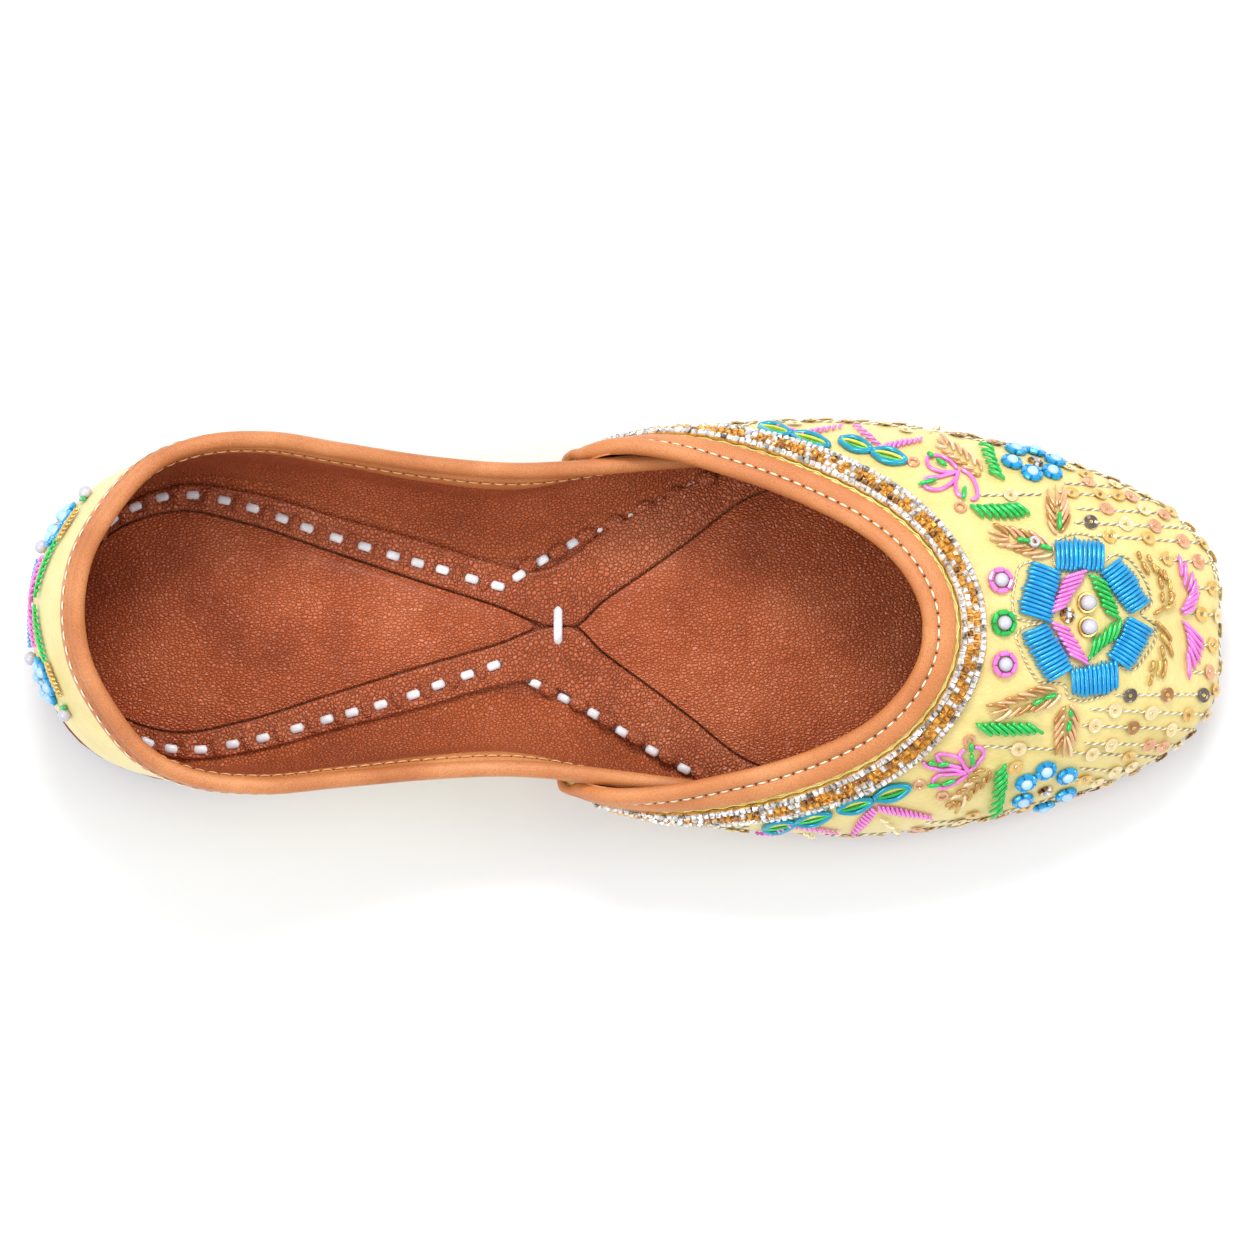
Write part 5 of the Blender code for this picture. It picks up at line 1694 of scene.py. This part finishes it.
def onto_strip(place):
    """The nearest place well inside the strip."""
    near, far = strip_sides(STRIP_COLUMNS)
    if place[1] < 0:
        near = near * OTHER_SIDE
        far = far * OTHER_SIDE
    across = far - near
    widths = np.linalg.norm(across, axis=1)
    share = ((np.array(place) - near) * across).sum(1) / widths ** 2
    share = np.clip(share, 0.40, 0.66)
    spots = near + across * share[:, None]
    return spots[np.argmin(np.linalg.norm(spots - np.array(place), axis=1))]


def rear_lace():
    """Stitches of the lace round the heel, from the far waist to the near waist."""
    row = [onto_strip(on_plan(x, y)) for x, y in LACE_HEEL]
    far_row = [place for place in row if place[1] > 0]
    near_row = [place for place in row if place[1] < 0]
    near, far = strip_sides(STRIP_COLUMNS)
    middle = near * 0.45 + far * 0.55
    lengths = lengths_along(middle)
    back = [np.array([np.interp(at, lengths, middle[:, k]) for k in range(2)]) for at in LACE_BACK]
    back_far = [place for place in reversed(back) if place[0] < far_row[0][0] - 0.004]
    back_near = [place * OTHER_SIDE for place in back if place[0] < near_row[0][0] - 0.004]
    return list(reversed(far_row)) + back_far + back_near + near_row


def on_plan(x, y):
    """Plan place under a picture pixel at the footbed's height."""
    eye, ray = sight(x, y)
    height = SOLE_THICKNESS + INSOLE_THICKNESS + STRIP_THICKNESS
    for _ in range(4):
        place = eye + ray * ((height - eye.z) / ray.z)
        height = float(insole_top(place.x)[0]) + STRIP_THICKNESS
    return place.x, place.y


def make_strip():
    """Strip of soft leather round the footbed, puckered by its lace."""
    near, far = strip_sides(STRIP_COLUMNS)
    near = np.concatenate([(near[1:] * OTHER_SIDE)[::-1], near])
    far = np.concatenate([(far[1:] * OTHER_SIDE)[::-1], far])
    pulls = np.array(rear_lace())
    along = lengths_along(far)
    sections = []
    for share in np.linspace(0, 1, STRIP_ROWS):
        place = near + (far - near) * share
        base = insole_top(place[:, 0]) + GAP
        edge = min(share, 1 - share) / 0.05
        rounded = math.sqrt(max(1 - (1 - min(edge, 1.0)) ** 2, 0.0))
        away = np.linalg.norm(place[:, None, :] - pulls[None, :, :], axis=2)
        nearest = away.min(axis=1)
        second = np.sort(away, axis=1)[:, 1]
        dip = np.exp(-(nearest / 0.0016) ** 2)
        between = np.exp(-((second - nearest) / 0.0022) ** 2) * np.exp(-(nearest / 0.0052) ** 2)
        round_heel = 1 - smooth_step((place[:, 0] - from_heel(0.10)) / 0.020)
        lift = between * (0.00035 + 0.00075 * round_heel) - dip * (0.00055 + 0.0003 * round_heel)
        lift = lift - np.exp(-((second - nearest) / 0.0007) ** 2) * 0.0006 * round_heel
        wave = np.sin(place[:, 0] * 520 + place[:, 1] * 260) * 0.00008
        beside = math.exp(-((share - ROLLED_SHARE) / 0.13) ** 2)
        pinch = 0.62 + 0.38 * np.exp(-((second - nearest) / 0.0030) ** 2)
        crumple = 1 + 0.34 * np.sin(along * 2900 + share * 5) + 0.26 * np.sin(along * 4700 - share * 9)
        lift = lift + beside * pinch * crumple * 0.00075 * round_heel
        height = base + STRIP_THICKNESS * (0.72 + 0.28 * rounded) + (lift + wave) * rounded
        sections.append(np.column_stack([place, height]))
    for share in (1.0, 0.0):
        place = near + (far - near) * share
        sections.append(np.column_stack([place, insole_top(place[:, 0]) + GAP]))
    section = np.stack(sections, axis=1)
    count = section.shape[1]
    faces = grid_faces(len(section), count)
    slots = [1 if k % count in (count - 1, count - 3) else 0 for k in range(len(faces))]
    faces += end_faces(len(section), count)
    slots += [1, 1]
    strip = solid("footbed_strip_soft", section, faces, ("strip_leather", "raw_edge"),
                  SOFT_SHARP, slots)
    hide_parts("footbed_strip")
    return strip


def make_turn_in():
    """Edge of the lining turned in over the insole, closing the seam between them."""
    u = columns_of(quarter, COLUMNS)
    height = quarter.height_along(u)
    upper_v = (INSOLE_THICKNESS + TURN_IN_TOP) / height
    lower_v = TURN_IN_FOOT / height
    top = quarter.offset(u, upper_v, TURN_IN_OVERLAP - quarter.wall_at(u, upper_v))
    low = quarter.offset(u, lower_v, TURN_IN_OVERLAP - quarter.wall_at(u, lower_v))
    inward = unit(-quarter.normal(u, lower_v) * np.array((1.0, 1.0, 0.0)))
    seat = insole_top(low[:, 0])
    edge = low + inward * TURN_IN_WIDTH
    edge[:, 2] = seat + TURN_IN_THICKNESS
    under = low + inward * TURN_IN_UNDER_WIDTH
    under[:, 2] = seat - TURN_IN_SINK
    low[:, 2] = seat - TURN_IN_SINK
    first = top * 0.62 + edge * 0.38 - inward * TURN_IN_HOLLOW
    first[:, 2] = seat + (top[:, 2] - seat) * 0.42
    second = top * 0.30 + edge * 0.70
    second[:, 2] = seat + (top[:, 2] - seat) * 0.17 + TURN_IN_SWELL
    section = np.stack([top, first, second, edge, under, low], axis=1)
    count = section.shape[1]
    faces = grid_faces(len(section), count) + end_faces(len(section), count)
    solid("lining_turn_in", section, faces, ("lining_leather",), FOLD_SHARP)


def surface_of(things):
    """One search tree over several meshes, in the frame of the shoe."""
    verts = []
    faces = []
    for thing in things:
        base = len(verts)
        turn = thing.matrix_world
        verts.extend(turn @ vert.co for vert in thing.data.vertices)
        faces.extend([index + base for index in polygon.vertices] for polygon in thing.data.polygons)
    return BVHTree.FromPolygons(verts, faces)


def dropped(tree, x, y):
    place, normal, _, _ = tree.ray_cast(Vector((x, y, 0.05)), Vector((0, 0, -1)))
    if place is None:
        place, normal, _, _ = tree.find_nearest(Vector((x, y, sole_top(x)[0] + INSOLE_THICKNESS)))
    return np.array(place), np.array(normal)


def along_row(row):
    """Each place of a row with the way the row runs there."""
    for k, place in enumerate(row):
        before = row[max(k - 1, 0)]
        after = row[min(k + 1, len(row) - 1)]
        yield place, unit(np.array((after[0] - before[0], after[1] - before[1])))


def dropped_line(tree, centre, heading, length, count):
    """Places on the leather under a straight line in plan."""
    places = []
    for share in np.linspace(-0.5, 0.5, count):
        x = centre[0] + heading[0] * length * share
        y = centre[1] + heading[1] * length * share
        place, _ = dropped(tree, x, y)
        places.append(place)
    return np.array(places)


def make_footbed():
    heel, forefoot = pad_outlines()
    heel_cushion = make_cushion("heel_cushion", "heel_pad", heel)
    front_cushion = make_cushion("forefoot_cushion", "forefoot_pad", forefoot)
    strip = make_strip()
    tree = surface_of((strip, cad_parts["insole"]))
    all_tree = surface_of((strip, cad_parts["insole"], heel_cushion, front_cushion))
    lace = Pile()
    rolls = Pile()
    rear = rear_lace()
    front = [[on_plan(x, y) for x, y in row] for row in LACE_FRONT]
    for row in (rear, *front):
        for place, heading in along_row(row):
            stitch(lace, tree, place, heading, *LACE_STITCH)
    cross = [on_plan(x, y) for x, y in CROSS_STITCH]
    places = []
    for share in np.linspace(0, 1, 9):
        x = cross[0][0] + (cross[1][0] - cross[0][0]) * share
        y = cross[0][1] + (cross[1][1] - cross[0][1]) * share
        place, _ = dropped(all_tree, x, y)
        rise = CROSS_RISE * (math.sin(share * math.pi) - (share in (0, 1)))
        places.append(place + np.array((0, 0, rise)))
    places = np.array(places)
    places[1:-1, 2] = np.maximum(places[1:-1, 2], places[1:-1, 2].max() - CROSS_RISE)
    verts, faces = tube(places, UP, round_ends(9, CROSS_RADIUS, 0.10), 10, 0.5)
    lace.add(verts, faces, "lace_white")
    lace.build("lace_stitches")
    for row in ROLLS:
        for place, heading in along_row([on_plan(x, y) for x, y in row]):
            puff(rolls, tree, place, heading, *FRONT_ROLL)
    for before, after in zip(rear[:-1], rear[1:]):
        middle = (np.array(before) + np.array(after)) / 2
        along = unit(np.array(after) - np.array(before))
        across = np.array((-along[1], along[0]))
        puff(rolls, tree, middle, across, *REAR_ROLL)
    rolls.build("lace_rolls", 1.2)


def stitch(pile, tree, centre, heading, length, radius, flat):
    """Flat lace that comes up through the leather and goes down again."""
    places = dropped_line(tree, centre, heading, length, 9)
    arch = np.cos(np.linspace(-0.5, 0.5, 9) * math.pi) * LACE_RISE - LACE_SINK
    level = places[:, 2].max() * 0.5 + places[:, 2] * 0.5
    places[:, 2] = level + arch
    verts, faces = tube(places, UP, round_ends(9, radius, 0.16), 10, flat)
    pile.add(verts, faces, "lace_white")
    # Painted shade: a dark flattened bead in each hole where the lace goes down.
    for end in (0, 8):
        verts, faces = ball(places[end] - np.array((0, 0, HOLE_SINK)), UP, radius * 0.95, 0.35, 5, 9)
        pile.add(verts, faces, "thread_dark")


def puff(pile, tree, centre, heading, length, radius, lift):
    """Fold of leather pushed up between two stitches of the lace."""
    count = 11
    places = dropped_line(tree, centre, heading, length, count)
    places[:, 2] = places[:, 2].mean() + lift
    at = np.linspace(0, 1, count)
    radii = radius * (0.42 + 0.58 * np.sin(at * math.pi) ** 0.6) * (1 + 0.07 * np.sin(at * 19))
    verts, faces = tube(places, UP, radii, 14, 0.78)
    pile.add(verts, faces, "strip_leather")


# Embroidery

class Ground:
    """Finds places of the picture on the outside of the upper."""

    def __init__(self, thing):
        self.tree = surface_of((thing,))

    def at(self, x, y):
        eye, ray = sight(x, y)
        place, normal, _, _ = self.tree.ray_cast(eye, ray)
        inwards = unit(np.array((PICTURE / 2 - x, PICTURE / 2 + PAIR_OFFSET - y)))
        for step in range(1, 40):
            if place is not None:
                break
            eye, ray = sight(x + inwards[0] * step, y + inwards[1] * step)
            place, normal, _, _ = self.tree.ray_cast(eye, ray)
        if normal.dot(ray) > 0:
            normal = -normal
        return np.array(place), np.array(normal)

    def short_line(self, start, stop, count):
        """Straight strand between two pixels, not drawn out where the wall is steep."""
        start = np.array(start, float)
        stop = np.array(stop, float)
        wanted = np.linalg.norm(stop - start) / PIXELS_PER_METRE * LONGEST_STRETCH
        places, normals = self.line((start, stop), count)
        drawn = np.linalg.norm(np.diff(places, axis=0), axis=1).sum()
        if drawn > wanted:
            middle = (start + stop) / 2
            reach = (stop - start) / 2 * wanted / drawn
            places, normals = self.line((middle - reach, middle + reach), count)
        return places, normals

    def line(self, points, count):
        """Line on the ground through picture pixels."""
        points = np.array(points, float)
        knots = lengths_along(points)
        at = np.linspace(0, knots[-1], count)
        if len(points) > 2:
            pixels = smooth_curve(knots, points, at)
        else:
            pixels = np.stack([np.interp(at, knots, points[:, k]) for k in range(2)], 1)
        places = []
        normals = []
        for x, y in pixels:
            place, normal = self.at(x, y)
            places.append(place)
            normals.append(normal)
        normals = np.array(normals)
        padded = np.concatenate([normals[:1], normals, normals[-1:]])
        return np.array(places), unit(padded[:-2] + padded[1:-1] + padded[2:])


def strand(pile, places, normals, radius, lift, bow, material, share=0.16):
    count = len(places)
    at = np.linspace(0, 1, count)
    arch = np.sin(at * math.pi) ** 0.7 * bow
    centres = places + normals * (lift + arch)[:, None]
    verts, faces = tube(centres, normals, round_ends(count, radius, share), 8)
    pile.add(verts, faces, material)


def leaf(pile, ground, colour, start, stop, across, radius, shape, spread, uneven, chance):
    """Leaf of slanted strands along start to stop. Gives the places of its strands."""
    start = np.array(start, float)
    stop = np.array(stop, float)
    across = np.array(across, float)
    lift, bow = shape
    full, taper, widest = spread
    heading = unit(across)
    wide = abs((stop - start)[0] * heading[1] - (stop - start)[1] * heading[0])
    count = max(int(round(wide / (2 * radius * PIXELS_PER_METRE))) + 1, 4)
    taken = []
    for k in range(count):
        s = k / (count - 1)
        middle = start + (stop - start) * s
        reach = across * (full - taper * abs(2 * s - widest)) * chance.uniform(*uneven)
        places, normals = ground.short_line(middle - reach, middle + reach, 7)
        strand(pile, places, normals, radius, lift, bow, "strand_" + colour)
        taken.extend(places[::3])
    return taken


def pearl(pile, place, normal, sizes, ring_tone, tone):
    """Pearl in a ring of bugles."""
    ring_radius, thickness, parts, radius, lift = sizes
    ring_of(pile, place, normal, ring_radius, thickness, "strand_" + ring_tone, parts)
    verts, faces = ball(place + normal * lift, normal, radius, PEARL_SQUEEZE)
    pile.add(verts, faces, "pearl_" + tone)


def ring_of(pile, place, normal, radius, thickness, material, parts):
    """Ring of short bugles, or a whole ring where parts is 0."""
    first = unit(np.cross(normal, np.array((0.2, 1.0, 0.1))))
    second = np.cross(normal, first)
    if parts == 0:
        profile = [(radius + thickness * math.cos(a), thickness + thickness * math.sin(a))
                   for a in np.arange(6) * math.pi / 3]
        verts, faces = turned(place, normal, profile, 22)
        pile.add(verts, faces, material)
        return
    for k in range(parts):
        angles = (k * 2 * math.pi / parts + 0.3, (k + 1) * 2 * math.pi / parts + 0.3)
        ends = [place + (first * math.cos(a) + second * math.sin(a)) * radius for a in angles]
        along = np.linspace(-0.03, 1.03, 7)[:, None]
        centres = ends[0] * (1 - along) + ends[1] * along + normal * thickness
        outward = centres - place
        centres = centres + unit(outward) * (np.sin(along * math.pi) * radius * 0.05)
        verts, faces = tube(centres, normal, round_ends(7, thickness, 0.12), 8)
        pile.add(verts, faces, material)


def sequin(pile, place, normal, tone, chance):
    """Cupped sequin with a small bead at its centre."""
    lean = np.array((chance.uniform(-0.14, 0.14), chance.uniform(-0.14, 0.14), 0.0))
    up = unit(normal + lean)
    size = chance.uniform(0.95, 1.05) * SEQUIN_RADIUS
    base = place + normal * SEQUIN_LIFT
    profile = ((0.22 * size, 0.00014), (0.46 * size, 0.00010), (0.50 * size, 0.00018), (0.70 * size, 0.00026),
               (0.74 * size, 0.00020), (0.94 * size, 0.00032), (1.0 * size, 0.00028), (0.97 * size, 0.00016),
               (0.58 * size, 0.0), (0.22 * size, 0.0))
    verts, faces = turned(base, up, profile, 22)
    pile.add(verts, faces, "sequin_" + tone)
    profile = [(0.00029 + 0.00015 * math.cos(a), 0.00030 + 0.00015 * math.sin(a))
               for a in np.arange(5) * 2 * math.pi / 5]
    verts, faces = turned(base, up, profile, 6, chance.uniform(0, 3))
    pile.add(verts, faces, "thread_gold" if tone != "gold" else "thread_grey")


def crystal(pile, place, normal, size, chance):
    """Cluster of cut beads."""
    first = unit(np.cross(normal, np.array((0.2, 1.0, 0.1))))
    second = np.cross(normal, first)
    names = ("brown", "amber", "clear", "brown", "silver", "amber", "clear", "brown")
    for k, name in enumerate(names):
        angle = k * 2 * math.pi / len(names)
        out = first * math.cos(angle) + second * math.sin(angle)
        spot = place + out * size * 0.72 + normal * 0.0002
        square_stone(pile, spot, normal, out, size * 0.58, 0.0006, "stone_" + name,
                     (chance.uniform(-0.3, 0.3), chance.uniform(-0.3, 0.3)))
    square_stone(pile, place + normal * 0.0002, normal, first, size * 0.85, 0.00115, "stone_clear",
                 (chance.uniform(-0.2, 0.2), chance.uniform(-0.2, 0.2)))


def make_embroidery():
    chance = random.Random(11)
    ground = Ground(upper_vamp)
    strands = Pile()
    beads = Pile()
    sequins = Pile()
    threads = Pile()
    taken = []
    for _, colour, first, first_end, last, last_end, bow, share in BLOCKS:
        step = np.array(last, float) + np.array(last_end) - np.array(first) - np.array(first_end)
        heading = unit(np.array(last_end, float) + np.array(first_end) - np.array(last) - np.array(first))
        wide = abs(step[0] * heading[1] - step[1] * heading[0]) / 2
        radius = STRAND_RADIUS * share
        count = max(int(round(wide / (2 * radius * PIXELS_PER_METRE))) + 1, 3)
        for k in range(count):
            s = k / (count - 1)
            a = np.array(first) * (1 - s) + np.array(last) * s
            b = np.array(first_end) * (1 - s) + np.array(last_end) * s
            heading = unit(b - a)
            swell = bow * (4 * s * (1 - s) - 0.5)
            b = b + heading * (swell + chance.uniform(-1.5, 1.3))
            a = a - heading * chance.uniform(-1.3, 1.3)
            places, normals = ground.short_line(a, b, 9)
            strand(strands, places, normals, radius * chance.uniform(0.94, 1.08),
                   BLOCK_LIFT + chance.uniform(0, BLOCK_UNEVEN), BLOCK_BOW, "strand_" + colour, 0.12)
            taken.extend(places[::3])
    for colour, start, stop, across in FEATHERS:
        taken.extend(leaf(strands, ground, colour, start, stop, across, *VAMP_LEAF, chance))
    for k, (colour, start, stop) in enumerate(CHEVRONS):
        places, normals = ground.short_line(start, stop, 7)
        tone = "gold" if k % 4 == 3 and colour == "bronze" else colour
        radius, lift, bow = CHEVRON_STRAND
        strand(strands, places, normals, radius, lift + CHEVRON_STEP * (k % 2), bow, "strand_" + tone)
        taken.extend(places[::3])
    for colour, stem, tip, reach, pairs, angle in FERNS:
        stem = np.array(stem, float)
        tip = np.array(tip, float)
        axis = unit(tip - stem)
        side = np.array((-axis[1], axis[0]))
        length = np.linalg.norm(tip - stem)
        for k in range(pairs):
            s = k / (pairs - 1)
            root = stem + axis * (length - reach * 1.02) * s
            for way in (-1, 1):
                lean = math.radians(angle * (1 - 0.35 * s) + chance.uniform(-4, 4))
                heading = axis * math.cos(lean) + side * way * math.sin(lean)
                a = root + side * way * 1.6 + axis * (2.2 if way > 0 else 0.0)
                b = a + heading * reach * chance.uniform(0.84, 1.06)
                points = []
                for step in np.linspace(0, 1, 5):
                    points.append(a + (b - a) * step + side * way * 1.5 * math.sin(step * math.pi))
                places, normals = ground.line(points, 9)
                tone = chance.choice((colour, colour, "copper", "shell"))
                radius, lift, bow = FERN_STRAND
                strand(strands, places, normals, radius, lift + FERN_STEP * (k % 2), bow, "strand_" + tone)
                taken.extend(places[::3])
        places, normals = ground.line((stem + axis * (length - reach), tip), 7)
        strand(strands, places, normals, *STEM_STRAND, "strand_" + colour)
    for start, stop in BUGLES:
        places, normals = ground.line((start, stop), 6)
        strand(strands, places, normals, *BUGLE_STRAND, "strand_green")
        taken.extend(places[::2])
    for colour, points in LOOPS:
        places, normals = ground.line(points, 26)
        strand(strands, places, normals, *LOOP_STRAND, "strand_" + colour, 0.04)
        taken.extend(places[::4])
    for start, stop, width in CHAINS:
        start = np.array(start, float)
        stop = np.array(stop, float)
        axis = unit(stop - start)
        side = np.array((-axis[1], axis[0]))
        for way, colour in ((-1, "teal"), (1, "teal"), (-0.42, "lime"), (0.36, "green")):
            points = []
            for s in np.linspace(0, 1, 7):
                points.append(start + (stop - start) * s + side * way * width * math.sin(s * math.pi))
            places, normals = ground.line(points, 16)
            sizes = CHAIN_STRAND if abs(way) == 1 else CHAIN_CORE_STRAND
            strand(strands, places, normals, *sizes, "strand_" + colour, 0.08)
            taken.extend(places[::3])
    strands.build("embroidery_strands", 1.3)
    for colour, spot in ROSETTES:
        place, normal = ground.at(*spot)
        pearl(beads, place, normal, ROSETTE_PEARL, colour, "white")
        taken.append(place)
    for spot in CENTRE_PEARLS:
        place, normal = ground.at(*spot)
        pearl(beads, place, normal, CENTRE_PEARL, "gold", "white")
    for spot in BLUE_PEARLS:
        place, normal = ground.at(*spot)
        pearl(beads, place, normal, BLUE_PEARL, "blue", "blue")
        taken.append(place)
    for spot in CRYSTALS:
        place, normal = ground.at(*spot)
        crystal(beads, place, normal, CRYSTAL_SIZE, chance)
        taken.append(place)
    for spot in RINGS:
        place, normal = ground.at(*spot)
        ring_of(beads, place, normal, 0.00105, 0.00036, "sequin_peach", 0)
    for spot in WHITE_RINGS:
        place, normal = ground.at(*spot)
        ring_of(beads, place + normal * 0.0004, normal, 0.00088, 0.00042, "pearl_white", 0)
    beads.build("embroidery_beads", 0.7)
    places, normals = ground.line(OUTLINE, 420)
    twisted(threads, Line(places, normals), *OUTLINE_THREAD, ("thread_gold", "thread_cream", "thread_grey"))
    taken.extend(places[::8])
    for start, stop in THREAD_ROWS:
        places, normals = ground.line((start, stop), 60)
        twisted(threads, Line(places, normals), *ROW_THREAD, ("thread_cream", "thread_grey"))
    for tone, spot in SEQUINS:
        place, normal = ground.at(*spot)
        sequin(sequins, place, normal, tone, chance)
        taken.append(place)
    wall_rows(sequins, threads, np.array(taken), chance)
    threads.build("sequin_threads")
    sequins.build("sequins", 0.5)
    heel_counter(chance)


def wall_rows(sequins, threads, taken, chance):
    """Rows of sequins that follow the foot of the wall round the toe."""
    columns = columns_of(vamp, COLUMNS * 3)
    tones = ("gold", "gold", "cream", "cream", "peach", "brown")
    for row, height in enumerate(WALL_ROWS):
        v = height / vamp.height_along(columns)
        places = vamp.point(columns, v)
        normals = vamp.normal(columns, v)
        free = places[:, 0] > from_heel(WALL_ROW_STARTS)
        line = Line(places[free], normals[free])
        samples = np.arange(WALL_ROW_END / 2, line.length - WALL_ROW_END / 2, WALL_SAMPLE)
        spots, ups = line.at(samples)
        away = np.array([np.linalg.norm(taken - spot, axis=1).min() for spot in spots])
        open_run = away > THREAD_ROOM
        edges = np.flatnonzero(np.diff(np.concatenate([[False], open_run, [False]]).astype(int)))
        for low, high in zip(edges[::2], edges[1::2]):
            if high - low < SHORTEST_RUN:
                continue
            run = Line(spots[low:high], ups[low:high])
            twisted(threads, run, *ROW_THREAD, ("thread_cream", "thread_grey"))
        at = WALL_ROW_END + (row % 2) * WALL_PITCH / 2
        while at < line.length - WALL_ROW_END:
            spot, up = line.at(at)
            if np.linalg.norm(taken - spot[0], axis=1).min() > SEQUIN_ROOM:
                sequin(sequins, spot[0], up[0], chance.choice(tones), chance)
            at += WALL_PITCH


class HeelGround(Ground):
    """Finds places round the back of the heel, in pixels along the wall and up from the floor."""

    def at(self, x, y):
        angle = x / PIXELS_PER_METRE / HEEL_CURVE
        out = Vector((-math.cos(angle), math.sin(angle), 0.0))
        middle = Vector((HEEL_CURVE - HALF_LENGTH, 0.0, y / PIXELS_PER_METRE))
        place, normal, _, _ = self.tree.ray_cast(middle + out * LENGTH, -out)
        if normal.dot(out) < 0:
            normal = -normal
        return np.array(place), np.array(normal)


def heel_counter(chance):
    """Leaves and pearl flowers on the outside of the heel."""
    ground = HeelGround(upper_quarter)
    pile = Pile()
    for way in (-1, 1):
        for colour, start, stop, across in HEEL_LEAVES:
            leaf(pile, ground, colour, (HEEL_MIDDLE + way * start[0], start[1]),
                 (HEEL_MIDDLE + way * stop[0], stop[1]), (way * across[0], across[1]), *HEEL_LEAF, chance)
        flower = np.array((HEEL_MIDDLE + way * HEEL_FLOWER[0], HEEL_FLOWER[1]), float)
        for k in range(HEEL_PETALS):
            angle = k * 2 * math.pi / HEEL_PETALS
            spot = flower + HEEL_FLOWER_RADIUS * np.array((math.cos(angle), math.sin(angle)))
            place, normal = ground.at(*spot)
            pearl(pile, place, normal, HEEL_BLUE_PEARL, "blue", "blue")
        place, normal = ground.at(*flower)
        crystal(pile, place, normal, HEEL_CRYSTAL_SIZE, chance)
        for along, height in HEEL_PEARLS:
            place, normal = ground.at(HEEL_MIDDLE + way * along, height)
            verts, faces = ball(place + normal * HEEL_PEARL_LIFT, normal, HEEL_PEARL_RADIUS, PEARL_SQUEEZE)
            pile.add(verts, faces, "pearl_white")
        ends = [(HEEL_MIDDLE + way * along, height) for along, height in HEEL_HOOK]
        places, normals = ground.line(ends, 8)
        strand(pile, places, normals, *HOOK_STRAND, "strand_green")
    pile.build("heel_embroidery", 0.8)


make_materials()
make_camera()
make_stage()

quarter = Sheet(QUARTER, BACK_HEIGHT, "first", False)
vamp = Sheet(VAMP, THROAT_HEIGHT, "last", True)
upper_vamp = upper_sheet("upper_vamp", vamp)
upper_quarter = upper_sheet("upper_quarter", quarter)
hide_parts("upper")
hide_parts("upper")

collar_u, collar_v = edge_path(quarter)
kept = quarter.point(collar_u, collar_v)[:, 0] < from_heel(COLLAR_FRONT)
collar_u = collar_u[kept]
collar_v = collar_v[kept]
collar_cover = cover_lengths(quarter, collar_u, collar_v, COLLAR_COVERED_FROM, math.inf)
collar_full = collar_u * 0 + BINDING_LEG
collar = folded_edge("collar_edge", quarter, collar_u, collar_v, collar_cover, collar_full,
                     ["free"] * len(collar_u), "binding_collar")
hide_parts("collar_binding")

throat_u, throat_v = edge_path(vamp)
throat_cover = cover_lengths(vamp, throat_u, throat_v, 0.0, WING_INNER_END)
throat_full = throat_u * 0 + BINDING_LEG
throat_kinds = []
for height in throat_v:
    if height > 0.9999:
        throat_kinds.append("free")
    elif height > WING_TUCK:
        throat_kinds.append("tucked")
    else:
        throat_kinds.append("seated")
throat = folded_edge("throat_edge", vamp, throat_u, throat_v, throat_full, throat_cover, throat_kinds,
                     "binding_tan")
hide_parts("vamp_binding")

for node_name, material_name in (("outsole", "sole_edge"), ("heel_lift", "heel_stack"),
                                 ("insole", "footbed_leather")):
    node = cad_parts[node_name]
    for node_slot in node.material_slots:
        node_slot.material = bpy.data.materials[material_name]

make_band()
make_edge_stitches()
make_footbed()
make_turn_in()
make_embroidery()
